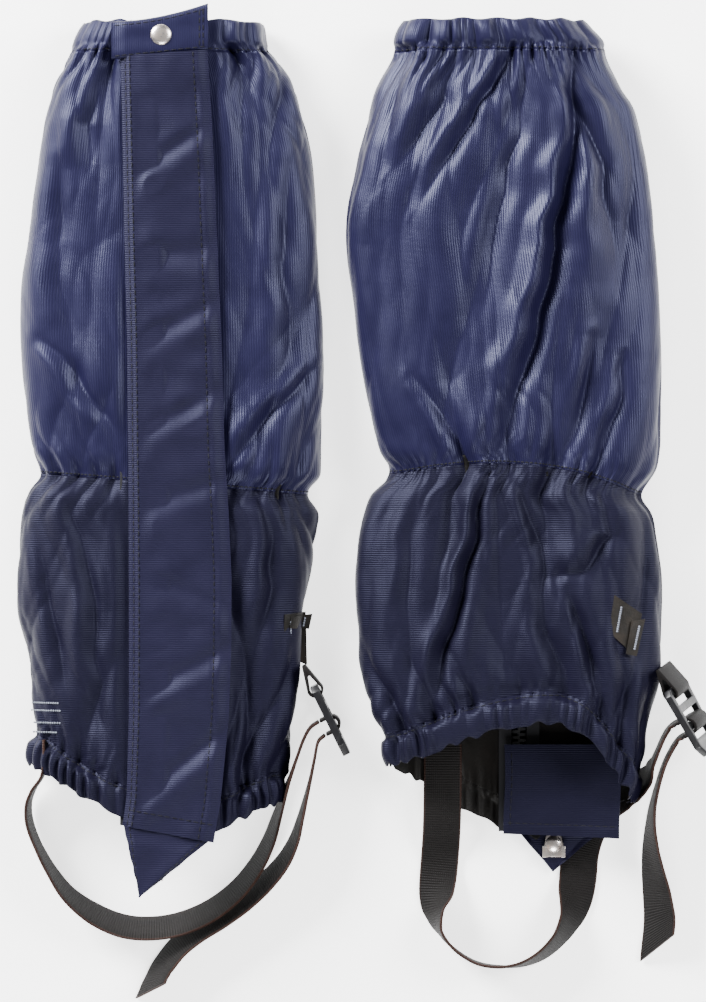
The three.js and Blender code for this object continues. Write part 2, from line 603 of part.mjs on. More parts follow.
  piece(group, name('hook_rivet'), turned(rivetX, rivetY, [
    [0, hookZ - GAP - 1], [HOOK_RIVET_RADIUS * 0.6, hookZ - GAP - 0.8], [HOOK_RIVET_RADIUS, hookZ - GAP],
    [1.2, hookZ - GAP], [1.2, FLAP_OVER + GAP], [HOOK_RIVET_RADIUS, FLAP_OVER + GAP],
    [HOOK_RIVET_RADIUS * 0.7, FLAP_OVER + GAP + 0.9], [0, FLAP_OVER + GAP + 1],
  ], 12), 'nickel');
}

// Closed prism between two like outlines.
function prism(ends) {
  const count = ends[0].length;
  const flat = ends[0].map((p) => new THREE.Vector2(p.x, p.z));
  const faces = THREE.ShapeUtils.triangulateShape(flat, []);
  const positions = ends.flat().flatMap((p) => [p.x, p.y, p.z]);
  const index = [];
  for (const [a, b, c] of faces) index.push(a, b, c, a + count, c + count, b + count);
  const turn = THREE.ShapeUtils.isClockWise(flat) ? -1 : 1;
  for (let i = 0; i < count; i += 1) {
    const j = (i + 1) % count;
    if (turn > 0) index.push(i, i + count, j, j, i + count, j + count);
    else index.push(i, j, i + count, j, j + count, i + count);
  }
  const geometry = new THREE.BufferGeometry();
  geometry.setAttribute('position', new THREE.Float32BufferAttribute(positions, 3));
  geometry.setIndex(index);
  const solid = toSolid(geometry);
  if (solid.volume() > 0) return toGeometry(solid);
  const flipped = [];
  for (let i = 0; i < index.length; i += 3) flipped.push(index[i], index[i + 2], index[i + 1]);
  geometry.setIndex(flipped);
  return toGeometry(toSolid(geometry));
}

// Curved pieces sewn on the outer side of the lower panel.
function buildOuterSide(group, side) {
  const name = (base) => side.prefix + base;
  const around = (y0, y1, from, to, r0, r1) => {
    const rings = [];
    for (const y of [y0, lerp(y0, y1, 0.5), y1]) {
      const { cx, hw } = stationAt(side, y);
      const centre = cx + hw - R;
      const arc = (r) => Array.from({ length: 7 }, (_, i) => {
        const a = THREE.MathUtils.degToRad(lerp(from, to, i / 6));
        return new THREE.Vector3(centre + r * Math.cos(a), y, R + r * Math.sin(a));
      });
      rings.push([...arc(r1), ...arc(r0).reverse()]);
    }
    return loft(rings);
  };
  const bulge = 0.5;
  piece(group, name('strap_patch'), around(ANCHOR_Y + PATCH_LENGTH, ANCHOR_Y + 3, -64, 30,
    R + bulge, R + bulge + PATCH_THICKNESS), 'coated');
  const labelHalf = THREE.MathUtils.radToDeg(LABEL_WIDTH / 2 / R);
  piece(group, name('label'), around(ANCHOR_Y + LABEL_LENGTH + 2, ANCHOR_Y + 2,
    side.labelAngle - labelHalf + 4, side.labelAngle + labelHalf + 4,
    R + bulge + PATCH_THICKNESS + GAP, R + bulge + PATCH_THICKNESS + GAP + LABEL_THICKNESS), 'black');
}

// Ladder-lock buckle on its anchor loop, standing on its edge beside the sleeve.
// Built along +X from the anchor seam, then turned about Z into place.
function buildBuckle(group, side) {
  const name = (base) => side.prefix + base;
  const { cx, hw } = stationAt(side, ANCHOR_Y);
  const mount = new THREE.Group();
  mount.position.set(cx + hw + side.anchorOffset, ANCHOR_Y, side.faceUp ? R : STACK_HEIGHT - R);
  mount.rotation.order = 'ZXY';
  mount.rotation.z = THREE.MathUtils.degToRad(side.buckleTurn);
  mount.rotation.x = THREE.MathUtils.degToRad(side.buckleLean);
  group.add(mount);
  const start = 12;
  const barHalf = BUCKLE_BAR / 2;
  const ringX = start + barHalf;
  const halfW = BUCKLE_WIDTH / 2;
  const slotHalf = STRAP_WIDTH / 2 + 1;
  const slot = (x0) => toSolid(
    box(x0, x0 + SLOT_HEIGHT, -slotHalf, slotHalf, -BUCKLE_THICKNESS, BUCKLE_THICKNESS),
  );
  const first = start + BUCKLE_BAR;
  const second = first + SLOT_HEIGHT + BUCKLE_BAR;
  const third = second + SLOT_HEIGHT + BUCKLE_BAR;
  const end = start + BUCKLE_LENGTH;
  const outline = [
    [start, -halfW + 3], [start + 3, -halfW], [end - 6, -halfW + 2], [end, -halfW + 7],
    [end, halfW - 7], [end - 6, halfW - 2], [start + 3, halfW], [start, halfW - 3],
  ];
  const solid = toSolid(plate(outline, -BUCKLE_THICKNESS / 2, BUCKLE_THICKNESS))
    .subtract(slot(first))
    .subtract(slot(second))
    .subtract(slot(third));
  const frame = toGeometry(solid);
  frame.rotateX(Math.PI / 2);
  piece(mount, name('buckle'), frame, 'plastic');

  // Anchor loop: a doubled strip that passes round the buckle's first bar.
  const t = 1.2;
  const turnR = Math.hypot(barHalf, BUCKLE_THICKNESS / 2) + GAP;
  const arc = (r, from, to) => Array.from({ length: 9 }, (_, i) => {
    const a = lerp(from, to, i / 8);
    return [ringX + r * Math.cos(a), r * Math.sin(a)];
  });
  const q = Math.PI / 2;
  const loop = [
    [0, -0.9], ...arc(turnR + t, -q, q), [0, 0.9],
  ];
  const hole = arc(turnR, -q, q).reverse();
  hole.push([start / 2, -turnR * 0.2], [start / 2, turnR * 0.2]);
  const anchor = plate(loop, -STRAP_WIDTH / 2, STRAP_WIDTH, [hole]);
  piece(mount, name('anchor_loop'), anchor, 'webbing');

  // Wrap: the foot strap's turn round the buckle's middle bar.
  const wrapX = second + SLOT_HEIGHT + barHalf;
  const wrapIn = turnR;
  const wrapArc = (r, from, to) => Array.from({ length: 9 }, (_, i) => {
    const a = lerp(from, to, i / 8);
    return [wrapX + r * Math.cos(a), r * Math.sin(a)];
  });
  const wrap = plate([
    ...wrapArc(wrapIn + STRAP_THICKNESS, 0, Math.PI),
    [wrapX - wrapIn - STRAP_THICKNESS, -wrapIn - 2], [wrapX - wrapIn, -wrapIn - 2],
    ...wrapArc(wrapIn, Math.PI, 0),
    [wrapX + wrapIn, -wrapIn - 2], [wrapX + wrapIn + STRAP_THICKNESS, -wrapIn - 2],
  ], -STRAP_WIDTH / 2, STRAP_WIDTH);
  piece(mount, name('strap_wrap'), wrap, 'webbing');
}

function buildGaiter(parent, side) {
  const name = (base) => side.prefix + base;
  const cloth = new THREE.Group();
  if (!side.faceUp) {
    cloth.scale.z = -1;
    cloth.position.z = STACK_HEIGHT;
  }
  parent.add(cloth);
  buildSleeve(cloth, side);
  buildZip(cloth, side);
  buildFlap(cloth, side);
  buildOuterSide(cloth, side);
  const table = new THREE.Group();
  parent.add(table);
  buildBuckle(table, side);
  piece(table, name('foot_strap'), strapGeometry(side.strap, STRAP_STEPS, false), 'webbing');
  piece(table, name('strap_tail'), strapGeometry(side.tail, TAIL_STEPS, true), 'webbing');
}

const gaiters = new THREE.Group();
gaiters.position.set(-PAIR_MIDDLE_X, -PAIR_MIDDLE_Y, 0);
buildGaiter(gaiters, LEFT);
buildGaiter(gaiters, RIGHT);

export default gaiters;
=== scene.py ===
import math

import bmesh
import bpy
import numpy as np
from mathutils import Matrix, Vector


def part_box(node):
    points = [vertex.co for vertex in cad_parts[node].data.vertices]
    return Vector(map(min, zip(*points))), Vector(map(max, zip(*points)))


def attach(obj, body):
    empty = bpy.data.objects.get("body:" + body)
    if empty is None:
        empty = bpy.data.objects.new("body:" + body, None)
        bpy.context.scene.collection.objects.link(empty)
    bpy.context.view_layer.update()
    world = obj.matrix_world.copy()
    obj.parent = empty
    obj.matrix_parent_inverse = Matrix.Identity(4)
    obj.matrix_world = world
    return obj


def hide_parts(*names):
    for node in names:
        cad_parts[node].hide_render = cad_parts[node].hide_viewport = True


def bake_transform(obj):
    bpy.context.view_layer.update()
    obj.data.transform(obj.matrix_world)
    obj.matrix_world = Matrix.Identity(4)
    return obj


bl_info = {
    "name": "Gaiter Pair Maker",
    "version": (1, 0, 0),
    "blender": (4, 5, 0),
    "location": "View3D > Sidebar > Gaiters",
    "description": "Models a pair of front-opening gaiters round their packed frame",
    "category": "Object",
}

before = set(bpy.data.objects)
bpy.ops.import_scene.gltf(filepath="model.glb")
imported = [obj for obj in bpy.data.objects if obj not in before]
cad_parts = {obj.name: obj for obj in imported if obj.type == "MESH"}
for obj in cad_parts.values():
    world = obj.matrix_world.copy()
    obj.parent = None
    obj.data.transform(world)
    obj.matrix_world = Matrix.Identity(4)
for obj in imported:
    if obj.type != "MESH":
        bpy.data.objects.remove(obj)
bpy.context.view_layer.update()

# ------------------------------------------------------------------ sizes, in millimetres

MM = 0.001
MIDDLE = (5.5, 1.0)            # the drawing's own origin, from the pair's middle
SLEEVE_HEIGHT = 34.0
STACK_HEIGHT = 40.7
TOP_EDGE = 226.5
BAND_SEAM = 210.5
ANKLE_Y, ANKLE_SLANT, ANKLE_RISE = -16.5, 5.5, 10.0
HEM_INNER_Y, HEM_OUTER_Y = -164.0, -184.0
HEM_FRONT_DROP, HEM_BACK_RISE = 29.0, 36.0
HEM_CASING = 16.0
SLIT_HALF = 4.8
ZIP_FROM_SEAM = 8.0
FLAP_WIDTH = 49.0
FLAP_LOW = 37.0
HINGE_Z = 35.3
STRAP_WIDTH = 20.0
STRAP_THICKNESS = 1.6
TAIL_CUT = 0.4
SNAP_FROM_SEAM, SNAP_Y = 19.0, 218.0
LOWEST_CLOTH = 0.8             # the sleeve's own underside, above the table
TABLE_GAP = 0.6                # the least height of the flap, which lies under the right sleeve
FLAP_TOP, FLAP_TOP_RISE = 207.0, 3.2
FLAP_BOTTOM, FLAP_BOTTOM_DROP = -195.0, 9.0
FLAP_CLOTH, GUARD_CLOTH, TIP_CLOTH, PATCH_CLOTH = 1.3, 0.7, 0.9, 0.9
SEAM_OVERLAP, HEM_OVERLAP = 0.15, 0.4
COIL_PITCH = 1.5
UV_SHIFT = (200.0, 300.0)      # keeps the weave's own coordinates positive

# Outline of each gaiter as it lies: [y, inner edge x, outer edge x].
LEFT_EDGES = [
    (235, -142, -50), (227, -143.5, -49.5), (214, -148.5, -48), (209, -151, -43), (192, -160, -32),
    (182, -163, -28.5), (161, -166.8, -23.5), (146, -168.6, -21.6), (133, -170.4, -20.4),
    (107, -174, -19), (95, -175.8, -18.4), (71, -176.4, -17.8), (41, -175.4, -17.4), (22, -173.4, -18.4),
    (6, -171.2, -20), (-8, -169.6, -21), (-13, -169.8, -21.4), (-19, -174, -24.6), (-32, -178.4, -23.4),
    (-44, -179.4, -22.8), (-66, -180.2, -25), (-83, -180, -28), (-102, -177.4, -30.8),
    (-126, -174.2, -33.4), (-145, -170.6, -36.4), (-152, -170.8, -37.6), (-163, -172.6, -39.4),
    (-184, -172.8, -37.8), (-215, -172, -38),
]
RIGHT_EDGES = [
    (235, 26, 120), (224, 25, 121.5), (215, 22.6, 128), (208, 21, 129.5), (196, 14, 135.4),
    (190, 11, 138.6), (183, 8.6, 143.6), (171, 5, 147.6), (160, 1.8, 150), (147, -1, 152.2),
    (131, -4.8, 154), (118, -6.2, 155), (103, -5.2, 157), (84, -2.2, 159.2), (52, 2.2, 161),
    (15, 9, 161.2), (1, 13, 160.6), (-10, 16.6, 158), (-15, 14.8, 155), (-23, 9.4, 151.6),
    (-32, 6, 156.6), (-45, 3.4, 159), (-62, 2, 161), (-92, 3, 161), (-110, 4, 160.4), (-117, 5.4, 160),
    (-134, 9.6, 155), (-143, 12.2, 152.4), (-150, 15, 151), (-161, 15.8, 150), (-168, 15.6, 149),
    (-191, 17, 145), (-215, 18, 145),
]

LEFT = {
    "name": "left_",
    "up": True,
    "edges": LEFT_EDGES,
    "seam": -121.0,
    "edge_z": 9.0,
    "seed": 11,
    "strap": [
        (-164.2, -151, 17, 90), (-164.2, -160, 17, 90), (-165.6, -170, 15.5, 90),
        (-170.5, -178, 13.5, 88), (-173.2, -186, 12, 86), (-172.5, -196, 11.4, 84),
        (-168, -208, 11.2, 84), (-161, -221, 11, 80), (-152, -233.5, 10, 72), (-139, -243.5, 9, 62),
        (-124, -250, 9, 58), (-109, -251.5, 9, 57), (-93, -249, 9, 57), (-77, -242, 9, 59),
        (-63.5, -231.5, 9, 62), (-53.5, -219, 9, 66), (-46.6, -206, 9.6, 71), (-42.4, -194, 11, 76),
        (-38.8, -183, 14, 82), (-35.2, -172, 16.6, 88), (-31.6, -161.5, 17, 90),
        (-28, -151.5, 17, 90), (-24.4, -145, 17, 90), (-20, -141.7, 17, 90),
    ],
    "tail": [
        (-16.7, -148.8, 17, 90), (-20.2, -152.4, 17, 90), (-22, -161, 17, 90),
        (-24, -171, 16.6, 91), (-26.6, -182, 15.8, 94), (-29.4, -193, 14.8, 98),
        (-32.8, -204.5, 13.4, 104), (-38.8, -216, 12, 111), (-48.2, -227, 10, 117),
        (-59.4, -236.8, 9, 121), (-72, -245.6, 9, 123), (-84, -253, 9, 123), (-94, -261, 9, 123),
        (-101.8, -270.8, 9, 123), (-105.8, -278, 9, 123), (-108.8, -284.4, 9, 123),
    ],
    # Lasting creases on the face that shows: points, depth, half width.
    "creases": [
        ([(-133, 196), (-141, 172), (-139, 150)], 3.2, 6.0),
        ([(-163, 60), (-140, 32), (-126, 8)], 3.0, 6.0),
        ([(-20, 44), (-45, 18), (-66, -8)], 2.6, 6.0),
        ([(-34, 150), (-38, 100), (-30, 40)], 2.6, 8.0),
        ([(-152, 150), (-156, 110), (-150, 60)], 2.4, 8.0),
        ([(-46, -26), (-44, -70), (-56, -118)], 2.6, 6.0),
        ([(-150, -26), (-138, -80), (-134, -140)], 4.0, 6.0),
        ([(-168, -40), (-158, -90), (-150, -134)], 2.4, 5.0),
    ],
}

RIGHT = {
    "name": "right_",
    "up": False,
    "edges": RIGHT_EDGES,
    "seam": 78.0,
    "edge_z": 25.0,
    "seed": 29,
    "strap": [
        (45.6, -154, 9.6, 0), (45.6, -166, 9.6, 0), (45.5, -179, 9.6, 0), (45.3, -192, 9.4, 0),
        (45, -202, 6.4, 0), (44.4, -212, 2.6, 0), (43.6, -222, 1.8, -6), (42.4, -233, 4.6, -24),
        (41.6, -243.5, 8.6, -62), (44.4, -253.5, 10.6, -84), (52, -262.5, 10.9, -88),
        (63.5, -269.5, 10.9, -88), (76, -271.5, 10.9, -86), (88, -270, 10, -78),
        (98.5, -265, 9.6, -70), (107, -257, 9.4, -64), (112.4, -248, 8, -52),
        (115.2, -239.5, 5, -32), (116.6, -231.5, 2, -10), (117.6, -224, 0.95, 0),
        (118.6, -213, 0.95, 0), (121.4, -202.5, 0.95, 0), (126.4, -192.5, 0.95, 0),
        (133.8, -184.4, 1.3, 2), (141.5, -179.6, 4, 24), (148.6, -176, 9, 50),
        (153.4, -171, 15, 74), (156, -163.5, 18.6, 88), (159.2, -155.5, 19, 90),
        (162.4, -148.6, 18.6, 90), (165.6, -144.2, 18.4, 90), (169.8, -141.5, 20.6, 90),
    ],
    "tail": [
        (173.6, -148.4, 20.6, 90), (169.6, -151, 18.8, 90), (165.6, -157, 18.6, 90),
        (161.8, -165, 19, 90), (158.8, -175, 18, 91), (156.4, -186, 16, 94), (155.4, -197, 14, 100),
        (155.6, -208.5, 12.4, 110), (157, -220.5, 9.8, 122), (159, -233, 7.4, 134),
        (160.2, -247, 6, 142), (159.2, -262, 6.6, 144),
    ],
    "creases": [
        ([(115, 206), (112, 160), (107, 122), (92, 60), (76, 4)], 8.0, 7.0),
        ([(82, 214), (62, 176), (34, 132)], 4.0, 6.0),
        ([(90, 212), (84, 168), (72, 120), (66, 70)], 3.4, 7.0),
        ([(100, 214), (128, 150), (136, 90)], 3.4, 7.0),
        ([(60, 212), (40, 178), (20, 150)], 3.0, 6.0),
        ([(30, 40), (44, 20), (58, -4)], 3.2, 5.0),
        ([(124, 60), (118, 28), (112, -2)], 3.4, 6.0),
        ([(142, 50), (138, 20), (128, -6)], 3.0, 6.0),
        ([(68, -12), (58, -60), (47, -100), (40, -132)], 6.0, 5.0),
        ([(84, -14), (98, -48), (99, -92), (110, -128)], 3.6, 6.0),
        ([(112, -72), (122, -108), (128, -136)], 4.6, 6.0),
        ([(128, -20), (134, -44), (118, -62), (98, -66)], 3.0, 6.0),
        ([(30, -30), (26, -80), (28, -130)], 2.2, 6.0),
    ],
}
SIDES = (LEFT, RIGHT)

# ------------------------------------------------------------------ settings


class GaiterSizes(bpy.types.PropertyGroup):
    """Sizes of the sewn work"""

    rib_pitch: bpy.props.FloatProperty(
        name="Rib pitch", description="Distance between two ribs of the cloth",
        default=0.00115, unit="LENGTH")
    stitch_length: bpy.props.FloatProperty(
        name="Stitch length", description="Length of one stitch with its gap",
        default=0.0037, unit="LENGTH")
    cloth_thickness: bpy.props.FloatProperty(
        name="Cloth thickness", description="Thickness of the coated cloth",
        default=0.0005, unit="LENGTH")
    gather_depth: bpy.props.FloatProperty(
        name="Gather depth", description="Depth of the folds at the elastic",
        default=0.0032, unit="LENGTH")


class GaiterColours(bpy.types.PropertyGroup):
    """Colours of the finishes"""

    shell: bpy.props.FloatVectorProperty(
        name="Shell", description="Thin ribbed nylon of the upper panels",
        default=(0.0043, 0.0038, 0.0160), subtype="COLOR", size=3)
    oxford: bpy.props.FloatVectorProperty(
        name="Heavy weave", description="Lower panels and storm flaps",
        default=(0.0024, 0.0020, 0.0070), subtype="COLOR", size=3)
    webbing: bpy.props.FloatVectorProperty(
        name="Webbing", description="Foot straps and loops",
        default=(0.0017, 0.0011, 0.0010), subtype="COLOR", size=3)
    lining: bpy.props.FloatVectorProperty(
        name="Lining", description="Coated inner face",
        default=(0.0016, 0.0013, 0.0011), subtype="COLOR", size=3)


# ------------------------------------------------------------------ small mathematics


def place(x, y, z):
    """A point of the drawing, in metres in the frame."""
    return Vector(((x - MIDDLE[0]) * MM, (y - MIDDLE[1]) * MM, z * MM))


def smooth_step(low, high, value):
    t = np.clip((value - low) / (high - low), 0.0, 1.0)
    return t * t * (3 - 2 * t)


def value_noise(u, v, seed):
    """Smooth noise from -1 to 1 on a wrapped table of random numbers."""
    table = np.random.RandomState(seed).uniform(-1, 1, (128, 128))
    u, v = np.broadcast_arrays(np.asarray(u, float), np.asarray(v, float))
    iu, iv = np.floor(u).astype(int), np.floor(v).astype(int)
    fu, fv = u - iu, v - iv
    fu, fv = fu * fu * (3 - 2 * fu), fv * fv * (3 - 2 * fv)
    a = table[iu % 128, iv % 128]
    b = table[(iu + 1) % 128, iv % 128]
    c = table[iu % 128, (iv + 1) % 128]
    d = table[(iu + 1) % 128, (iv + 1) % 128]
    return (a * (1 - fu) + b * fu) * (1 - fv) + (c * (1 - fu) + d * fu) * fv


def edge_curves(side, y):
    """Inner and outer edge x of a gaiter at the heights y, on a smooth curve."""
    rows = np.array(sorted(side["edges"]), float)
    ys, inner, outer = rows[:, 0], rows[:, 1], rows[:, 2]
    i = np.clip(np.searchsorted(ys, y) - 1, 0, len(ys) - 2)
    step = ys[i + 1] - ys[i]
    t = np.clip((y - ys[i]) / step, 0, 1)

    def hermite(values):
        slope = np.gradient(values, ys)
        h00 = 2 * t**3 - 3 * t**2 + 1
        h10 = t**3 - 2 * t**2 + t
        h01 = -2 * t**3 + 3 * t**2
        h11 = t**3 - t**2
        return (h00 * values[i] + h10 * step * slope[i]
                + h01 * values[i + 1] + h11 * step * slope[i + 1])

    return hermite(inner), hermite(outer)


def bump_share(nx, centre, left_power, right_power):
    d = np.where(nx < centre, (centre - nx) / (1 + centre), (nx - centre) / (1 - centre))
    power = np.where(nx < centre, left_power, right_power)
    return 1 - np.minimum(d, 1) ** power


def hem_y(nx, nz):
    side_y = HEM_INNER_Y + (HEM_OUTER_Y - HEM_INNER_Y) * (nx + 1) / 2
    front = side_y - HEM_FRONT_DROP * nz * bump_share(nx, 0.1, 1.3, 1.3)
    back = side_y - HEM_BACK_RISE * nz * bump_share(nx, 0.3, 1.3, 2.2)
    return np.where(nz > 0, front, back)


def ankle_y(nx, nz):
    return ANKLE_Y - ANKLE_SLANT * nx + ANKLE_RISE * np.maximum(0, -nz) * (1 - nx * nx)


SECTION_POWER = 2.7


def section_angles(count):
    """Angles that are evenly spaced along a section, from the front round the outer side."""
    a = np.linspace(math.pi / 2, -1.5 * math.pi, 4001)
    x, z = section_unit(a)
    run = np.hypot(np.diff(x * 76), np.diff(z * 17))
    length = np.concatenate([[0], np.cumsum(run)])
    return np.interp(np.linspace(0, length[-1], count), length, a), length[-1]


def section_unit(angle):
    c, s = np.cos(angle), np.sin(angle)
    p = 2 / SECTION_POWER
    return np.sign(c) * np.abs(c) ** p, np.sign(s) * np.abs(s) ** p


def crease_depth(side, x, y, shows):
    """Lasting folds on the face that shows: a rounded lip that drops into a narrow valley."""
    total = np.zeros_like(x)
    for points, depth, width in side["creases"]:
        nearest, signed, share = np.full(x.shape, 1e9), np.zeros_like(x), np.zeros_like(x)
        lengths = [math.dist(a, b) for a, b in zip(points, points[1:])]
        run = 0.0
        for (x0, y0), (x1, y1), length in zip(points, points[1:], lengths):
            dx, dy = x1 - x0, y1 - y0
            t = np.clip(((x - x0) * dx + (y - y0) * dy) / length**2, 0, 1)
            off_x, off_y = x - (x0 + t * dx), y - (y0 + t * dy)
            d = np.hypot(off_x, off_y)
            closer = d < nearest
            nearest = np.where(closer, d, nearest)
            signed = np.where(closer, d * np.sign(off_x * dy - off_y * dx), signed)
            share = np.where(closer, (run + t * length) / sum(lengths), share)
            run += length
        signed = signed + 0.35 * width * value_noise(y / 15, x / 23, side["seed"] + 70)
        fade = np.clip(np.sin(math.pi * np.clip(share * 0.94 + 0.03, 0, 1)), 0, 1) ** 0.7
        spread = width * (0.75 + 0.6 * share)
        valley = -np.exp(-np.abs(signed / (0.5 * spread)) ** 1.3)
        lip = 0.75 * np.exp(-((signed - 1.25 * spread) / (0.8 * spread)) ** 2)
        slope = 0.35 * np.exp(-((signed + 1.8 * spread) / (1.5 * spread)) ** 2)
        total += depth * fade * (valley + lip + slope)
    return total * shows


def folds(s, y, seed, size):
    """Broad soft folds with sharp valleys that wander up and down the leg."""
    warp = 0.9 * value_noise(s / (2.1 * size), y / (3.2 * size), seed + 40)
    total = np.zeros_like(s)
    for lean, scale, amount in ((0.16, 1.0, 1.0), (-0.22, 0.6, 0.45), (0.1, 0.31, 0.17), (0.3, 0.16, 0.06)):
        across = (s + lean * y) / (size * scale)
        along = (y - lean * s) / (size * scale * 5.5)
        n = value_noise(across + warp, along + 0.5 * warp, seed)
        total += amount * (np.abs(n) ** 0.8 - 0.4)
        seed += 1
    return total


def gathers(around, away, seed, depth, scales):
    """Puckers that start at an elastic and run out into the cloth, coarser with distance."""
    total = np.zeros_like(around)
    for pitch, reach, share in scales:
        drift = pitch * 0.9 * value_noise(around / (pitch * 3.1), away / (reach * 1.3), seed)
        wave = np.abs(np.sin(math.pi * (around + drift) / pitch)) ** 0.8
        strength = 0.55 + 0.75 * value_noise(around / (pitch * 2.3), away / (reach * 2), seed + 1)
        total += share * depth * np.exp(-away / reach) * np.maximum(strength, 0.05) * (wave - 0.62)
        seed += 2
    return total


NEAR_ELASTIC = [(5.5, 7.0, 0.7), (10.5, 20.0, 1.2), (21.0, 48.0, 1.7), (43.0, 100.0, 1.6)]


# ------------------------------------------------------------------ meshes


def link(name, mesh, materials):
    obj = bpy.data.objects.new(name, mesh)
    for m in materials:
        mesh.materials.append(m)
    bpy.context.scene.collection.objects.link(obj)
    return obj


def only(obj):
    bpy.ops.object.select_all(action="DESELECT")
    obj.select_set(True)
    bpy.context.view_layer.objects.active = obj


def apply_modifier(obj, kind, **values):
    only(obj)
    modifier = obj.modifiers.new(kind.title(), kind)
    for key, value in values.items():
        setattr(modifier, key, value)
    bpy.ops.object.modifier_apply(modifier=modifier.name)


def smooth(obj, angle=None):
    only(obj)
    if angle is None:
        bpy.ops.object.shade_smooth()
    else:
        bpy.ops.object.shade_smooth_by_angle(angle=math.radians(angle))


def grid_piece(name, points, uv, materials, flip=False, closed_u=False):
    """A sheet of quads from an array of rows of points, in millimetres."""
    rows, cols = points.shape[:2]
    flat = points.reshape(-1, 3).copy()
    flat[:, 0] -= MIDDLE[0]
    flat[:, 1] -= MIDDLE[1]
    flat *= MM
    index = np.arange(rows * cols).reshape(rows, cols)
    right = np.roll(index, -1, axis=1) if closed_u else index[:, 1:]
    left = index if closed_u else index[:, :-1]
    quads = np.stack([left[:-1], right[:-1], right[1:], left[1:]], axis=-1).reshape(-1, 4)
    if flip:
        quads = quads[:, ::-1]
    mesh = bpy.data.meshes.new(name)
    mesh.vertices.add(len(flat))
    mesh.vertices.foreach_set("co", flat.ravel())
    mesh.loops.add(quads.size)
    mesh.loops.foreach_set("vertex_index", quads.ravel())
    mesh.polygons.add(len(quads))
    mesh.polygons.foreach_set("loop_start", np.arange(0, quads.size, 4))
    mesh.update(calc_edges=True)
    mesh.validate()
    layer = mesh.uv_layers.new(name="cloth")
    layer.data.foreach_set("uv", (uv.reshape(-1, 2)[quads.ravel()] * MM).ravel())
    return link(name, mesh, materials)


def thicken(obj, thickness, inner=0):
    """Gives a sheet its cloth thickness, inwards from its outer face."""
    apply_modifier(obj, "SOLIDIFY", thickness=thickness, offset=-1.0, use_even_offset=False,
                   material_offset=inner, material_offset_rim=0)


def finish_piece(obj, body, slot_name, *nodes):
    """body is None for a piece that is left attached to no body."""
    if body:
        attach(obj, body)
    if nodes:
        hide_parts(*nodes)
    return obj


def refined_copy(node, name, material, bevel=0.25, segments=2):
    """A copy of a frame node with its doubles merged and its edges rounded."""
    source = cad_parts[node]
    mesh = source.data.copy()
    mesh.name = name
    mesh.materials.clear()
    obj = link(name, mesh, [material])
    bm = bmesh.new()
    bm.from_mesh(mesh)
    bmesh.ops.remove_doubles(bm, verts=bm.verts, dist=2e-6)
    bmesh.ops.dissolve_limit(bm, angle_limit=math.radians(1.5), verts=bm.verts, edges=bm.edges)
    bm.to_mesh(mesh)
    bm.free()
    if bevel:
        apply_modifier(obj, "BEVEL", width=bevel * MM, segments=segments, limit_method="ANGLE",
                       angle_limit=math.radians(28), harden_normals=False)
    smooth(obj, 32)
    return obj


def stitches(name, lines, material, length, thick=0.42, fill=0.72):
    """Thread dashes along lines of points in metres: each a flat-ended six-sided bead."""
    verts, faces = [], []
    for line in lines:
        points = [Vector(p) for p in line]
        lengths = [0.0]
        for a, b in zip(points, points[1:]):
            lengths.append(lengths[-1] + (b - a).length)
        count = max(1, int(lengths[-1] / length))
        for k in range(count):
            ends = []
            for share in ((1 - fill) / 2, (1 + fill) / 2):
                d = (k + share) * lengths[-1] / count
                i = max(1, min(len(points) - 1, int(np.searchsorted(lengths, d))))
                run = max(lengths[i] - lengths[i - 1], 1e-9)
                ends.append(points[i - 1].lerp(points[i], (d - lengths[i - 1]) / run))
            along = (ends[1] - ends[0]).normalized()
            across = along.cross(Vector((0, 0, 1)))
            if across.length < 0.1:
                across = along.cross(Vector((1, 0, 0)))
            across.normalize()
            up = across.cross(along)
            base = len(verts)
            radius = thick * MM / 2
            for t, r in ((0.0, 0.45), (0.25, 1.0), (0.75, 1.0), (1.0, 0.45)):
                middle = ends[0].lerp(ends[1], t)
                for q in range(6):
                    a = q * math.pi / 3
                    verts.append(middle + across * math.cos(a) * radius * r * 1.15
                                 + up * math.sin(a) * radius * r)
            for ring in range(3):
                for q in range(6):
                    a, b = base + ring * 6 + q, base + ring * 6 + (q + 1) % 6
                    faces.append((a, b, b + 6, a + 6))
            faces.append(tuple(base + q for q in reversed(range(6))))
            faces.append(tuple(base + 18 + q for q in range(6)))
    mesh = bpy.data.meshes.new(name)
    mesh.from_pydata([tuple(v) for v in verts], [], faces)
    mesh.update()
    obj = link(name, mesh, [material])
    bm = bmesh.new()
    bm.from_mesh(mesh)
    bmesh.ops.recalc_face_normals(bm, faces=bm.faces)
    bm.to_mesh(mesh)
    bm.free()
    smooth(obj)
    return obj


# ------------------------------------------------------------------ materials


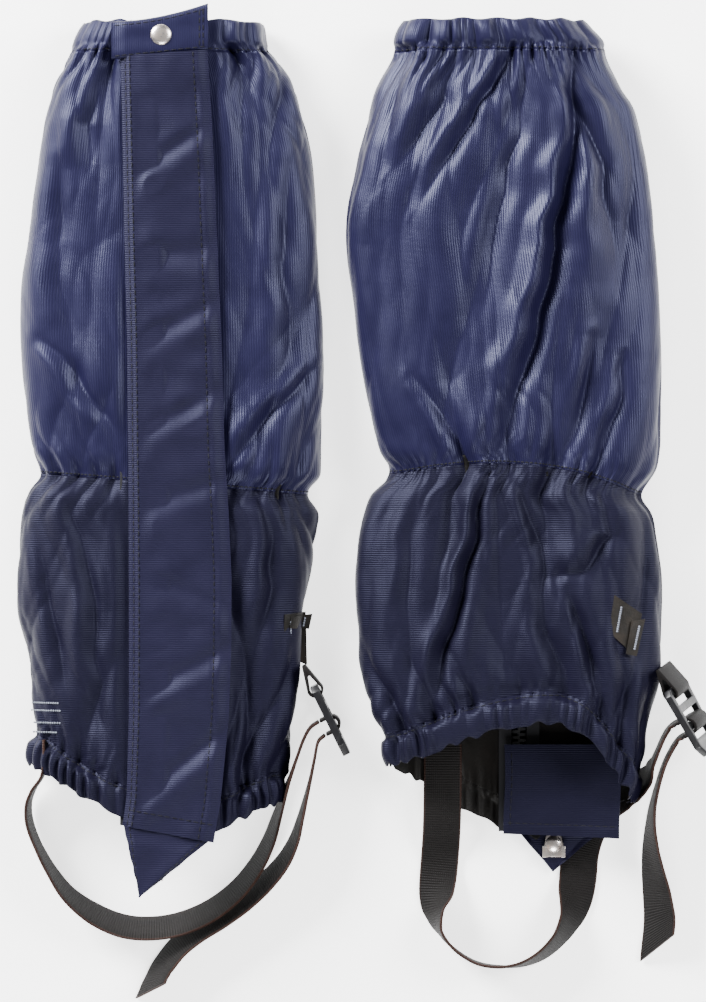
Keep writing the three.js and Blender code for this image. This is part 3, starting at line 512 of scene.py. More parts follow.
class Nodes:
    """A short way to write a material's node tree."""

    def __init__(self, name):
        self.material = bpy.data.materials.new(name)
        self.material.use_nodes = True
        self.tree = self.material.node_tree
        self.shader = self.tree.nodes["Principled BSDF"]

    def add(self, kind, inputs=(), **values):
        node = self.tree.nodes.new(kind)
        for key, value in values.items():
            setattr(node, key, value)
        for key, value in dict(inputs).items():
            self.put(node.inputs[key], value)
        return node

    def put(self, socket, value):
        if isinstance(value, bpy.types.NodeSocket):
            self.tree.links.new(value, socket)
        elif isinstance(value, bpy.types.Node):
            self.tree.links.new(value.outputs[0], socket)
        else:
            socket.default_value = value

    def math(self, operation, a, b=0.0, clamp=False):
        return self.add("ShaderNodeMath", {0: a, 1: b}, operation=operation, use_clamp=clamp).outputs[0]

    def mix(self, share, a, b):
        node = self.tree.nodes.new("ShaderNodeMix")
        node.data_type = "RGBA"
        self.put(node.inputs[0], share)
        self.put(node.inputs[6], a)
        self.put(node.inputs[7], b)
        return node.outputs[2]

    def noise(self, vector, scale, detail=3.0, rough=0.55):
        return self.add("ShaderNodeTexNoise", {
            "Vector": vector, "Scale": scale, "Detail": detail, "Roughness": rough}).outputs[0]

    def spread(self, value, low, high, to_low=0.0, to_high=1.0):
        return self.add("ShaderNodeMapRange", {
            0: value, 1: low, 2: high, 3: to_low, 4: to_high}).outputs[0]

    def bump(self, height, distance, strength=1.0, normal=None):
        inputs = {"Height": height, "Distance": distance, "Strength": strength}
        if normal is not None:
            inputs["Normal"] = normal
        return self.add("ShaderNodeBump", inputs).outputs[0]

    def set(self, **values):
        for key, value in values.items():
            self.put(self.shader.inputs[key.replace("_", " ")], value)


def colour(rgb, gain=1.0):
    return (rgb[0] * gain, rgb[1] * gain, rgb[2] * gain, 1.0)


def ribbed_cloth(name, base, pitch, along_y, rough, gloss, rib_depth=0.00006):
    """Woven cloth with ribs in one direction, fine threads across them and uneven dye, with painted shade
    in the rib grooves and a painted highlight on the rib crests.
    """
    m = Nodes(name)
    uv = m.add("ShaderNodeUVMap", uv_map="cloth").outputs[0]
    split = m.add("ShaderNodeSeparateXYZ", {0: uv})
    run, cross = (split.outputs[0], split.outputs[1]) if along_y else (split.outputs[1], split.outputs[0])
    coarse = m.noise(uv, 55.0, 4.0)
    waver = m.math("MULTIPLY", m.noise(uv, 240.0, 2.0), 0.0005)
    phase = m.math("MULTIPLY", m.math("ADD", run, waver), 2 * math.pi / pitch)
    rib = m.math("ADD", m.math("MULTIPLY", m.math("SINE", phase), 0.5), 0.5)
    thread = m.math("ADD", m.math("MULTIPLY", m.math(
        "SINE", m.math("MULTIPLY", cross, 2 * math.pi / (pitch * 0.55))), 0.5), 0.5)
    fleck = m.noise(uv, 2600.0, 2.0, 0.7)
    height = m.math("ADD", m.math("MULTIPLY", rib, 0.8), m.math("MULTIPLY", thread, 0.2))
    height = m.math("ADD", height, m.math("MULTIPLY", fleck, 0.35))
    # Painted shade and highlight: the rib grooves take the darker dyed colour and the rib crests the
    # lighter one.
    dyed_groove_shade = m.mix(m.spread(coarse, 0.35, 0.7), colour(base, 0.86), colour(base, 1.12))
    lit = m.mix(m.spread(coarse, 0.3, 0.7), colour((base[0] * 1.25, base[1] * 1.22, base[2] * 1.1), 1.25),
                colour((base[0] * 1.5, base[1] * 1.45, base[2] * 1.2), 1.35))
    crest_highlight_share = m.math("MULTIPLY", rib, m.spread(fleck, 0.3, 0.75, 0.45, 1.0))
    m.set(Base_Color=m.mix(crest_highlight_share, dyed_groove_shade, lit),
          Roughness=m.spread(m.math("ADD", fleck, coarse), 0.6, 1.4, rough - 0.07, rough + 0.09),
          Normal=m.bump(height, rib_depth, 1.0))
    m.shader.inputs["Specular IOR Level"].default_value = gloss
    m.shader.inputs["Specular Tint"].default_value = (0.62, 0.66, 1.0, 1.0)
    return m.material


def coated_lining(name, base):
    m = Nodes(name)
    where = m.add("ShaderNodeTexCoord").outputs["Object"]
    patch = m.noise(where, 38.0, 5.0, 0.6)
    grain = m.noise(where, 900.0, 3.0)
    m.set(Base_Color=m.mix(m.spread(patch, 0.35, 0.7), colour(base, 0.55), colour((base[0] * 1.5,
          base[1] * 1.25, base[2] * 1.05), 1.7)),
          Roughness=m.spread(grain, 0.3, 0.7, 0.46, 0.68), Specular_IOR_Level=0.14,
          Normal=m.bump(m.math("ADD", m.math("MULTIPLY", patch, 2.0), grain), 0.00018, 1.0))
    return m.material


def webbing_finish(name, base):
    """Flat woven webbing: ribs across it, a rolled selvedge, and reddish edge threads."""
    m = Nodes(name)
    uv = m.add("ShaderNodeUVMap", uv_map="cloth").outputs[0]
    split = m.add("ShaderNodeSeparateXYZ", {0: uv})
    across, along = split.outputs[0], split.outputs[1]
    rib = m.math("ADD", m.math("MULTIPLY", m.math(
        "SINE", m.math("MULTIPLY", along, 2 * math.pi / 0.00135)), 0.5), 0.5)
    warp = m.math("ADD", m.math("MULTIPLY", m.math(
        "SINE", m.math("MULTIPLY", across, 2 * math.pi / 0.0011)), 0.5), 0.5)
    fuzz = m.noise(uv, 1500.0, 3.0, 0.7)
    from_middle = m.math("ABSOLUTE", m.math("SUBTRACT", across, STRAP_WIDTH * MM / 2))
    selvedge = m.spread(from_middle, 0.0088, 0.0098)
    # Painted shade and highlight: the webbing's rib grooves are coloured darker and its rib crests lighter.
    body = m.mix(m.math("MULTIPLY", rib, m.spread(fuzz, 0.3, 0.7, 0.5, 1.0)),
                 colour(base, 0.55), colour(base, 2.1))
    m.set(Base_Color=m.mix(selvedge, body, (0.022, 0.0085, 0.0055, 1.0)),
          Roughness=m.spread(fuzz, 0.3, 0.7, 0.55, 0.78),
          Normal=m.bump(m.math("ADD", m.math("ADD", m.math("MULTIPLY", rib, 0.9),
                        m.math("MULTIPLY", warp, 0.3)), m.math("MULTIPLY", fuzz, 0.4)), 0.00022, 1.0))
    m.shader.inputs["Specular IOR Level"].default_value = 0.14
    return m.material


def thread_finish(name, base):
    m = Nodes(name)
    where = m.add("ShaderNodeTexCoord").outputs["Object"]
    twist = m.noise(where, 3000.0, 2.0)
    m.set(Base_Color=m.mix(twist, colour(base, 0.6), colour(base, 1.5)),
          Roughness=m.spread(twist, 0.3, 0.7, 0.5, 0.75), Normal=m.bump(twist, 0.0001, 0.6),
          Specular_IOR_Level=0.14)
    return m.material


def moulded_plastic(name, base):
    m = Nodes(name)
    where = m.add("ShaderNodeTexCoord").outputs["Object"]
    grain = m.noise(where, 1400.0, 2.0)
    drawn_out = m.add("ShaderNodeMapping", {"Vector": where, "Scale": (1.0, 0.25, 1.0)})
    scuff = m.noise(drawn_out, 420.0, 4.0, 0.7)
    m.set(Base_Color=m.mix(m.spread(scuff, 0.55, 0.72), colour(base, 1.0), colour(base, 1.9)),
          Roughness=m.spread(scuff, 0.3, 0.75, 0.24, 0.46), Normal=m.bump(grain, 0.00003, 0.7))
    m.shader.inputs["Specular IOR Level"].default_value = 0.3
    return m.material


def plated_metal(name, base, rough=0.2):
    m = Nodes(name)
    where = m.add("ShaderNodeTexCoord").outputs["Object"]
    wear = m.noise(where, 260.0, 5.0, 0.65)
    fine = m.noise(m.add("ShaderNodeMapping", {"Vector": where, "Scale": (1.0, 6.0, 1.0)}), 1700.0, 2.0)
    dull = (base[0] * 0.8, base[1] * 0.68, base[2] * 0.58)
    m.set(Base_Color=m.mix(m.spread(wear, 0.5, 0.75), colour(base), colour(dull)),
          Roughness=m.spread(wear, 0.3, 0.75, rough, rough + 0.2), Normal=m.bump(fine, 0.00002, 0.6))
    m.shader.inputs["Metallic"].default_value = 1.0
    return m.material


def pile_tape(name, base, scale):
    m = Nodes(name)
    where = m.add("ShaderNodeTexCoord").outputs["Object"]
    pile = m.noise(where, scale, 3.0, 0.7)
    m.set(Base_Color=m.mix(pile, colour(base, 0.5), colour(base, 2.0)),
          Roughness=m.spread(pile, 0.3, 0.7, 0.7, 0.95), Normal=m.bump(pile, 0.0005, 1.0),
          Specular_IOR_Level=0.14)
    return m.material


FINISH = {}


def make_finishes(context):
    sizes, hues = context.scene.gaiter_sizes, context.scene.gaiter_colours
    pitch = sizes.rib_pitch
    FINISH["shell"] = ribbed_cloth("ribbed_shell_nylon", hues.shell, pitch, True, 0.4, 0.24, 0.00008)
    FINISH["oxford"] = ribbed_cloth("heavy_weave", hues.oxford, pitch, False, 0.52, 0.15, 0.0001)
    flap_hue = [1.6 * v for v in hues.oxford]
    FINISH["flap"] = ribbed_cloth("flap_weave", flap_hue, pitch, False, 0.5, 0.18, 0.0001)
    FINISH["band"] = ribbed_cloth("band_cloth", hues.shell, pitch, True, 0.45, 0.2)
    FINISH["lining"] = coated_lining("coated_lining", hues.lining)
    FINISH["webbing"] = webbing_finish("strap_webbing", hues.webbing)
    FINISH["thread"] = thread_finish("black_thread", (0.006, 0.006, 0.008))
    FINISH["tack"] = thread_finish("grey_tack_thread", (0.13, 0.14, 0.17))
    FINISH["plastic"] = moulded_plastic("moulded_buckle", (0.006, 0.006, 0.007))
    FINISH["coil"] = moulded_plastic("zip_coil", (0.012, 0.012, 0.014))
    FINISH["nickel"] = plated_metal("nickel_plate", (0.72, 0.66, 0.63))
    FINISH["loop"] = pile_tape("loop_pile", (0.012, 0.012, 0.013), 1500.0)
    FINISH["hook"] = pile_tape("hook_pile", (0.014, 0.014, 0.015), 2600.0)
    FINISH["tape"] = thread_finish("zip_tape_weave", (0.012, 0.012, 0.014))
    FINISH["loop_weave"] = thread_finish("loop_weave", hues.webbing)
    FINISH["patch"] = coated_lining("coated_patch", (0.010, 0.009, 0.008))


# ------------------------------------------------------------------ sleeve


def to_world(side, points):
    """Local front-up points to the way the gaiter lies."""
    if side["up"]:
        return points
    turned = points.copy()
    turned[..., 2] = STACK_HEIGHT - turned[..., 2]
    return turned


def wall(side, top_at, bottom_at, rows, cols, relief, inset=0.0):
    """A sleeve wall between two heights that vary round the leg, with its relief added."""
    angles, girth = section_angles(2001)
    xs, zs = section_unit(angles)
    zip_x = side["seam"] + ZIP_FROM_SEAM
    inner, outer = edge_curves(side, np.array(0.0))
    middle, half = (inner + outer) / 2, (outer - inner) / 2
    reach = np.where(angles > -math.pi / 2, zip_x + SLIT_HALF, zip_x - SLIT_HALF)
    share = (reach - middle) / half
    first = int(np.argmax((xs >= share[0]) & (zs > 0)))
    lasts = np.nonzero((xs <= (zip_x - SLIT_HALF - middle) / half) & (zs > 0) & (angles < -math.pi))[0]
    last = int(lasts[-1])
    picks = np.interp(np.linspace(first, last, cols), np.arange(2001), angles)
    ux, uz = section_unit(picks)
    around = np.linspace(0, girth * (last - first) / 2000, cols)
    t = np.linspace(0, 1, rows)[:, None]
    y = top_at(ux, uz)[None, :] * (1 - t) + bottom_at(ux, uz)[None, :] * t
    inner, outer = edge_curves(side, y)
    middle, half = (inner + outer) / 2, (outer - inner) / 2
    edge_z = side["edge_z"]
    x = middle + (half - inset) * ux
    up_reach = SLEEVE_HEIGHT - edge_z - inset
    down_reach = edge_z - LOWEST_CLOTH - inset
    z = edge_z + np.where(uz > 0, up_reach * uz, down_reach * uz)
    # The slit's two edges stay straight along the zip.
    near_first = np.exp(-(around - around[0]) / 14.0)
    near_last = np.exp(-(around[-1] - around) / 14.0)
    x = x + near_first * (zip_x + SLIT_HALF - x[:, :1]) + near_last * (zip_x - SLIT_HALF - x[:, -1:])
    shows = smooth_step(-0.1, 0.35, uz if side["up"] else -uz)
    s = np.broadcast_to(around, x.shape)
    push = relief(s, x, y, np.broadcast_to(ux, x.shape), np.broadcast_to(uz, x.shape),
                  np.broadcast_to(shows, x.shape))
    front = np.broadcast_to(uz > 0, x.shape)
    under_flap = (smooth_step(side["seam"] - 6, side["seam"] + 1, x)
                  * (1 - smooth_step(side["seam"] + FLAP_WIDTH - 5, side["seam"] + FLAP_WIDTH + 6, x)))
    calm = 1 - 0.88 * under_flap * front
    if not side["up"]:
        calm = np.where(front, calm * 0.35, calm)
    push = push * calm
    nx = np.sign(ux) * np.abs(ux) ** (SECTION_POWER - 1)
    nz = np.sign(uz) * np.abs(uz) ** (SECTION_POWER - 1) * 2.2
    size = np.hypot(nx, nz)
    x = x + push * nx / size
    z = z + push * nz / size
    points = to_world(side, np.stack([x, y, z], axis=-1))
    points[..., 2] = np.maximum(points[..., 2], 0.7)
    uv = np.stack([s, y + 300], axis=-1)
    return points, uv


def at_ankle(side, depth, s, away):
    """Puckers at the ankle elastic, the same on both sides of its seam."""
    pinch = -2.8 * np.exp(-(away / 7.0) ** 2)
    return pinch + gathers(s + 40, away, side["seed"] + 7, depth * 0.9, NEAR_ELASTIC)


def upper_relief(side, depth):
    seed = side["seed"]

    def relief(s, x, y, nx, nz, shows):
        from_band = np.abs(BAND_SEAM - y)
        from_ankle = np.abs(y - ankle_y(nx, nz))
        total = at_ankle(side, depth, s, from_ankle)
        total += smooth_step(0, 30, from_ankle) * gathers(s, from_band, seed, depth, NEAR_ELASTIC)
        soft = 4.8 * folds(s, y, seed + 20, 44.0) + 0.2 * value_noise(s / 6, y / 17, seed + 25)
        return total + smooth_step(0, 14, from_ankle) * soft + crease_depth(side, x, y, shows)

    return relief


def lower_relief(side, depth):
    seed = side["seed"] + 100

    def relief(s, x, y, nx, nz, shows):
        from_ankle = np.abs(ankle_y(nx, nz) - y)
        from_hem = np.abs(y - hem_y(nx, nz) - HEM_CASING)
        total = at_ankle(side, depth, s, from_ankle) - 1.8 * np.exp(-(from_hem / 6.0) ** 2)
        puckers = gathers(s, from_hem, seed + 7, depth * 1.2, NEAR_ELASTIC)
        total += smooth_step(0, 30, from_ankle) * puckers
        soft = 4.6 * folds(s, y, seed + 20, 36.0) + 0.2 * value_noise(s / 6, y / 17, seed + 25)
        return total + smooth_step(0, 12, from_ankle) * 1.3 * soft + crease_depth(side, x, y, shows)

    return relief


def casing_relief(side, depth, seed, height, share, neighbour, bulge, scales):
    """An elastic casing: a rounded tube with deep pleats, joined to the panel beside it."""

    def relief(s, x, y, nx, nz, shows):
        away = height(y, nx, nz)
        round_tube = np.sin(math.pi * np.clip(share(away), 0, 1)) ** 0.7
        pleat = gathers(s, np.zeros_like(s), seed, depth * 1.1, scales)
        own = bulge * round_tube + pleat * (0.55 + 0.45 * round_tube)
        own += 0.3 * value_noise(s / 4, y / 8, seed + 9)
        joined = smooth_step(0.0, 5.0, away)
        return own * joined + neighbour(s, x, y, nx, nz, shows) * (1 - joined)

    return relief


PLEATS = [(6.2, 9.0, 1.1), (12.5, 26.0, 1.4), (25.0, 40.0, 0.9)]
LOBES = [(8.5, 9.0, 0.5), (19.0, 26.0, 1.3), (37.0, 40.0, 1.7)]


def band_relief(side, depth):
    return casing_relief(
        side, depth, side["seed"] + 200, lambda y, nx, nz: y - BAND_SEAM,
        lambda away: away / (TOP_EDGE - BAND_SEAM), upper_relief(side, depth), 2.2, LOBES)


def hem_relief(side, depth):
    return casing_relief(
        side, depth, side["seed"] + 107, lambda y, nx, nz: hem_y(nx, nz) + HEM_CASING - y,
        lambda away: away / HEM_CASING, lower_relief(side, depth), 1.6, PLEATS)


def hem_ruffle(seed):
    """The hem's own edge runs in and out with the gathers."""

    def bottom(nx, nz):
        angle = np.arctan2(nz, nx)
        s = angle * 55
        wave = np.sin(s / 1.9 + 3 * value_noise(s / 9, 0.0, seed))
        return hem_y(nx, nz) + 1.1 * wave

    return bottom


def build_wall(context, side, base, relief, top_at, bottom_at, rows, cols, finish, slot_name):
    sizes = context.scene.gaiter_sizes
    name = side["name"]
    points, uv = wall(side, top_at, bottom_at, rows, cols, relief)
    obj = grid_piece(name + base + "_cloth", points, uv, [FINISH[finish], FINISH["lining"]],
                     flip=side["up"])
    thicken(obj, sizes.cloth_thickness, 1)
    smooth(obj)
    finish_piece(obj, name + "sleeve", slot_name, name + base)
    return points


def seam_line(points, row, lift=0.12):
    """The points along one row of a wall, and the small step that raises a thread off the cloth there."""
    across = np.gradient(points[row], axis=0)
    down = points[min(row + 1, len(points) - 1)] - points[max(row - 1, 0)]
    normal = np.cross(down, across)
    normal /= np.maximum(np.linalg.norm(normal, axis=1, keepdims=True), 1e-9)
    return points[row].copy(), normal * lift


def seam_stitches(context, name, points, row, body, flip, pitch=None, thick=0.45):
    line, normal = seam_line(points, row)
    line = line + (normal if flip else -normal)
    path = [place(*p) for p in line]
    length = pitch or context.scene.gaiter_sizes.stitch_length
    obj = stitches(name, [path], FINISH["thread"], length, thick)
    return finish_piece(obj, body, "binding")


# Each bar tack: x from, x to, y, on the left sleeve's lower panel.
BAR_TACKS = [
    (-171.0, -156.0, -131.5), (-171.5, -155.0, -135.5),
    (-170.0, -155.0, -142.0), (-170.5, -157.0, -147.0),
]


def bar_tacks(name, points):
    """Short bars of close stitches that hold the strap's end patch inside."""
    face = points[points[..., 2] > SLEEVE_HEIGHT / 2]
    paths = []
    for x0, x1, y in BAR_TACKS:
        path = []
        for x in np.linspace(x0, x1, 9):
            near = np.argsort((face[:, 0] - x) ** 2 + (face[:, 1] - y) ** 2)[:3]
            path.append(place(x, y, face[near, 2].mean() + 0.25))
        paths.append(path)
    tacks = stitches(name + "bar_tacks", paths, FINISH["tack"], 0.0013, 0.9, 0.8)
    finish_piece(tacks, name + "sleeve", "binding")


class GAITER_OT_sleeve_cloth(bpy.types.Operator):
    """Sew the bands, panels, ankle elastic and hem casings of both sleeves"""

    bl_idname = "gaiter.sleeve_cloth"
    bl_label = "Sleeve cloth"

    def execute(self, context):
        depth = context.scene.gaiter_sizes.gather_depth / MM
        for side in SIDES:
            name = side["name"]
            body = name + "sleeve"
            up = side["up"]
            band_points = build_wall(
                context, side, "top_band", band_relief(side, depth),
                lambda nx, nz: TOP_EDGE + 0.6 * np.sin(nx * 17 + nz * 5) + 0 * nz,
                lambda nx, nz: BAND_SEAM - SEAM_OVERLAP + 0 * nx, 18, 560, "band", "band")
            upper_points = build_wall(
                context, side, "upper_panel", upper_relief(side, depth),
                lambda nx, nz: BAND_SEAM + SEAM_OVERLAP + 0 * nx,
                lambda nx, nz: ankle_y(nx, nz) - SEAM_OVERLAP,
                150, 300, "shell", "shell")
            lower_points = build_wall(
                context, side, "lower_panel", lower_relief(side, depth),
                lambda nx, nz: ankle_y(nx, nz) + SEAM_OVERLAP,
                lambda nx, nz: hem_y(nx, nz) + HEM_CASING - HEM_OVERLAP, 110, 300, "oxford", "oxford")
            hem_points = build_wall(
                context, side, "hem_casing", hem_relief(side, depth),
                lambda nx, nz: hem_y(nx, nz) + HEM_CASING + HEM_OVERLAP,
                hem_ruffle(side["seed"] + 3), 18, 520, "oxford", "oxford")
            if up:
                bar_tacks(name, lower_points)
            seam_stitches(context, name + "band_seam_thread", band_points, 16, body, up)
            seam_stitches(context, name + "ankle_seam_thread", upper_points, 148, body, up, 0.0024, 0.6)
            seam_stitches(context, name + "hem_seam_thread", hem_points, 2, body, up)
            elastic, uv = wall(
                side, lambda nx, nz: ankle_y(nx, nz) + 5, lambda nx, nz: ankle_y(nx, nz) - 5, 8, 260,
                lambda s, x, y, nx, nz, shows: 0.5 * np.sin(s / 1.1), inset=4.6)
            strip = grid_piece(name + "ankle_elastic_strip", elastic, uv, [FINISH["lining"]], flip=up)
            thicken(strip, 1.0 * MM)
            smooth(strip)
            finish_piece(strip, body, "binding", name + "ankle_elastic")
        return {"FINISHED"}


# ------------------------------------------------------------------ flap


# The left flap's two long edges, which wander a little: [y, x] from the bottom up.
FREE_EDGE = [
    (-203, -74.5), (-183, -71), (-159, -68.6), (-137, -66.6), (-102, -65.4), (-66, -65.2),
    (-30, -66.8), (0, -68.8), (57, -70.4), (130, -73.6), (160, -74.8), (207, -77.6),
]
SEWN_EDGE = [
    (-203, -123.5), (-180, -120.2), (-137, -119), (-112, -119), (-77, -119), (-22, -119.2),
    (60, -120), (114, -121.4), (207, -123.2),
]
# Slanting folds across the flap: height, slant and depth of each.
FLAP_FOLDS = [
    (158, 0.62, 1.5), (104, 0.1, 1.2), (66, 0.5, 1.3), (18, 0.55, 1.2), (-24, 0.35, 1.1),
    (-70, -0.35, 1.1), (-118, 0.5, 1.2), (-168, 0.8, 1.3),
]


def along_edge(edge, y):
    ys, xs = zip(*edge)
    return np.interp(y, ys, xs)


def flap_edge(side, y):
    """x of the flap's free edge."""
    if not side["up"]:
        return side["seam"] + FLAP_WIDTH + 0.8 * np.sin(y / 60)
    return along_edge(FREE_EDGE, y)


def flap_seam(side, y):
    """x of the flap's sewn edge."""
    if not side["up"]:
        return side["seam"] + 0 * y
    return along_edge(SEWN_EDGE, y)


def flap_points(side, rows, cols, y_top, y_bottom):
    """The flap's outer face: rises from its seam over the zip, then lies over the sleeve."""
    t = np.linspace(0, 1, rows)[:, None]
    u = np.linspace(0, 1, cols)[None, :]
    y = y_top(u) * (1 - t) + y_bottom(u) * t
    x0, x1 = flap_seam(side, y), flap_edge(side, y)
    x = x0 + (x1 - x0) * u
    rise = smooth_step(0.0, 0.1, u)
    hinge = HINGE_Z + 0.5
    z = hinge + (FLAP_LOW + 1.9 - hinge) * rise + 0 * x
    seed = side["seed"] + 300
    crumple = 0.9 * value_noise((x + 0.75 * y) / 34, (y - 0.3 * x) / 21, seed)
    crumple += 0.45 * value_noise((x + 0.55 * y) / 15, (y - 0.4 * x) / 11, seed + 1)
    slants = np.zeros_like(z)
    for height, tilt, deep in FLAP_FOLDS:
        d = (y - height) - tilt * (x - side["seam"] - 24)
        slants -= deep * np.exp(-(d / 5.0) ** 2) - 0.8 * deep * np.exp(-((d + 11) / 8.0) ** 2)
    calm = smooth_step(0.1, 0.3, u) * (1 - 0.75 * smooth_step(0.8, 1.0, u))
    seam_dip = smooth_step(0.78, 0.84, u) * (1 - smooth_step(0.84, 0.9, u))
    z = z + (crumple * 1.3 + slants * 1.15) * calm - 0.3 * seam_dip
    z = z - 1.6 * smooth_step(0.86, 1.0, u) * (1.0 if side["up"] else 0.4)
    clear_of_zip = hinge + (FLAP_LOW + 1.7 - hinge) * rise
    z = np.maximum(z, clear_of_zip - 5.0 * smooth_step(0.36, 0.6, u))
    z = np.clip(z, HINGE_Z, SLEEVE_HEIGHT + 6.3)
    points = to_world(side, np.stack([x, y, z], axis=-1))
    points[..., 2] = np.maximum(points[..., 2], TABLE_GAP)
    uv = np.stack([x - side["seam"] + 20, y + 300], axis=-1)
    return points, uv


def flap_line(points, col, up, lift=0.15, rows=slice(None)):
    line = points[rows, col].copy()
    line[:, 2] += lift if up else -lift
    return [place(*p) for p in line]


class GAITER_OT_storm_flaps(bpy.types.Operator):
    """Sew the storm flaps with their tabs, toe tips and closure tapes"""

    bl_idname = "gaiter.storm_flaps"
    bl_label = "Storm flaps"

    def execute(self, context):
        sizes = context.scene.gaiter_sizes
        for side in SIDES:
            name, up = side["name"], side["up"]
            body, sleeve = name + "flap", name + "sleeve"

            def bend(obj):
                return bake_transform(obj)

            points, uv = flap_points(side, 420, 60, lambda u: FLAP_TOP + FLAP_TOP_RISE * u,
                                     lambda u: FLAP_BOTTOM - FLAP_BOTTOM_DROP * u)
            flap = grid_piece(name + "storm_flap_cloth", points, uv,
                              [FINISH["flap"], FINISH["lining"]], flip=up)
            thicken(flap, FLAP_CLOTH * MM, 1)
            smooth(flap, 60)
            bend(finish_piece(flap, None, "oxford", name + "storm_flap",
                              name + "flap_seam"))

            threads = [flap_line(points, c, up) for c in (3, 6, 49)]
            bottom = points[410, 3:58].copy()
            bottom[:, 2] += 0.15 if up else -0.15
            threads.append([place(*p) for p in bottom])
            seams = stitches(name + "flap_seam_thread", threads, FINISH["thread"], sizes.stitch_length)
            bend(finish_piece(seams, None, "binding"))

            build_tab(context, side, bend)
            build_toe_tip(context, side)
            for node, finish in (("hook_tape", "hook"), ("loop_tape", "loop")):
                tape = refined_copy(name + node, name + node + "_strip", FINISH[finish], 0.2)
                finish_piece(tape, body if node == "hook_tape" else sleeve, "binding", name + node)
        return {"FINISHED"}


def build_tab(context, side, bend):
    """The folded band that closes over the top elastic, with a double row of stitches at its end."""
    name, up = side["name"], side["up"]
    rows, cols = 40, 80
    t = np.linspace(0, 1, rows)[:, None]
    u = np.linspace(0, 1, cols)[None, :]
    start = side["seam"] - 7.0
    x = start + (side["seam"] + 43.5 - start) * u + 0 * t
    top = 225.0 + (9.5 if up else -2.0) * u ** 1.3 - 1.2 * np.sin(math.pi * u)
    bottom = 205.2 + 5.0 * u
    y = top * (1 - t) + bottom * t
    fat = np.sqrt(np.clip(1 - (2 * t - 1) ** 6, 0, 1))
    z = FLAP_LOW + 0.6 + 1.5 * fat + 0.35 * value_noise(x / 9, y / 6, side["seed"] + 400)
    z = z + 0.5 * np.sin(math.pi * u) * fat
    z = z - 1.4 * (1 - smooth_step(0.0, 0.16, u))
    top_face = np.stack([x, y, np.broadcast_to(z, x.shape)], axis=-1)
    under = top_face.copy()
    under[..., 2] = FLAP_LOW + 0.3 - 1.4 * (1 - smooth_step(0.0, 0.16, u)) + 0 * t
    loop = to_world(side, np.concatenate([top_face, under[::-1]], axis=0))
    uv = np.stack([loop[..., 0] - start, loop[..., 1] + 300], axis=-1)
    loop = np.concatenate([loop, loop[:1]], axis=0)
    uv = np.concatenate([uv, uv[:1]], axis=0)
    obj = grid_piece(name + "flap_tab_cloth", loop, uv, [FINISH["band"]], flip=up)
    bm = bmesh.new()
    bm.from_mesh(obj.data)
    bmesh.ops.remove_doubles(bm, verts=bm.verts, dist=1e-7)
    bmesh.ops.holes_fill(bm, edges=[e for e in bm.edges if e.is_boundary], sides=0)
    bmesh.ops.triangulate(bm, faces=[f for f in bm.faces if len(f.verts) > 4])
    bm.to_mesh(obj.data)
    bm.free()
    smooth(obj, 50)
    bend(finish_piece(obj, None, "band", name + "flap_tab"))
    lift = 0.12 if up else -0.12
    world = to_world(side, top_face)
    world[..., 2] += lift
    lines = [[place(*p) for p in world[3:37, c]] for c in (72, 75)]
    lines += [[place(*p) for p in world[r, 2:78]] for r in (4, 36)]
    length = context.scene.gaiter_sizes.stitch_length
    seams = stitches(name + "tab_thread", lines, FINISH["thread"], length)
    bend(finish_piece(seams, None, "binding"))


# Corners of each toe tip: its two sewn corners, then its point.
TOE_TIPS = {
    "left_": [(-122.2, -193.4), (-75.2, -201.5), (-113.2, -232.6)],
    "right_": [(81.5, -195.5), (126.4, -203.0), (104.2, -222.0)],
}


def build_toe_tip(context, side):
    """The pointed tongue below the flap, folded and stitched round its rim."""
    name, up = side["name"], side["up"]
    rows, cols = 44, 60
    t = np.linspace(0, 1, rows)[:, None]
    u = np.linspace(0, 1, cols)[None, :]
    a, b, tip = (np.array(corner, float) for corner in TOE_TIPS[name])
    x = (a[0] + (b[0] - a[0]) * u) * (1 - t) + tip[0] * t
    y = (a[1] + (b[1] - a[1]) * u) * (1 - t) + tip[1] * t
    rim = np.minimum(np.minimum(u, 1 - u) * 2, 1) * np.ones_like(t)
    z = FLAP_LOW + 0.5 + 0.9 * smooth_step(0, 0.25, rim)
    z = z + 0.6 * value_noise(x / 11, y / 15, side["seed"] + 500) * (1 - t)
    z = z + 0.6 * np.sin((u * 2.2 + t) * 3) * (1 - t)
    if up:
        z = z - 0.9 * (1 - smooth_step(0.12, 0.3, t))
    x = x + (0.3 if up else 0.2) * value_noise(y / 4, 0.0, side["seed"] + 501)
    points = to_world(side, np.stack([x, y, z], axis=-1))
    points[..., 2] = np.maximum(points[..., 2], TABLE_GAP)
    uv = np.stack([x - side["seam"] + 20, y + 300], axis=-1)
    obj = grid_piece(name + "toe_tip_cloth", points, uv, [FINISH["flap"]], flip=up)
    thicken(obj, TIP_CLOTH * MM)
    smooth(obj, 60)
    finish_piece(obj, name + "flap", "oxford", name + "toe_tip")
    lift = 0.14 if up else -0.14
    down = [points[k, 4] for k in range(1, rows - 3)]
    back = [points[k, cols - 5] for k in range(rows - 4, 0, -1)]
    path = [place(p[0], p[1], p[2] + lift) for p in down + back]
    length = context.scene.gaiter_sizes.stitch_length
    seams = stitches(name + "toe_tip_thread", [path], FINISH["thread"], length)
    finish_piece(seams, name + "flap", "binding")


# ------------------------------------------------------------------ hardware


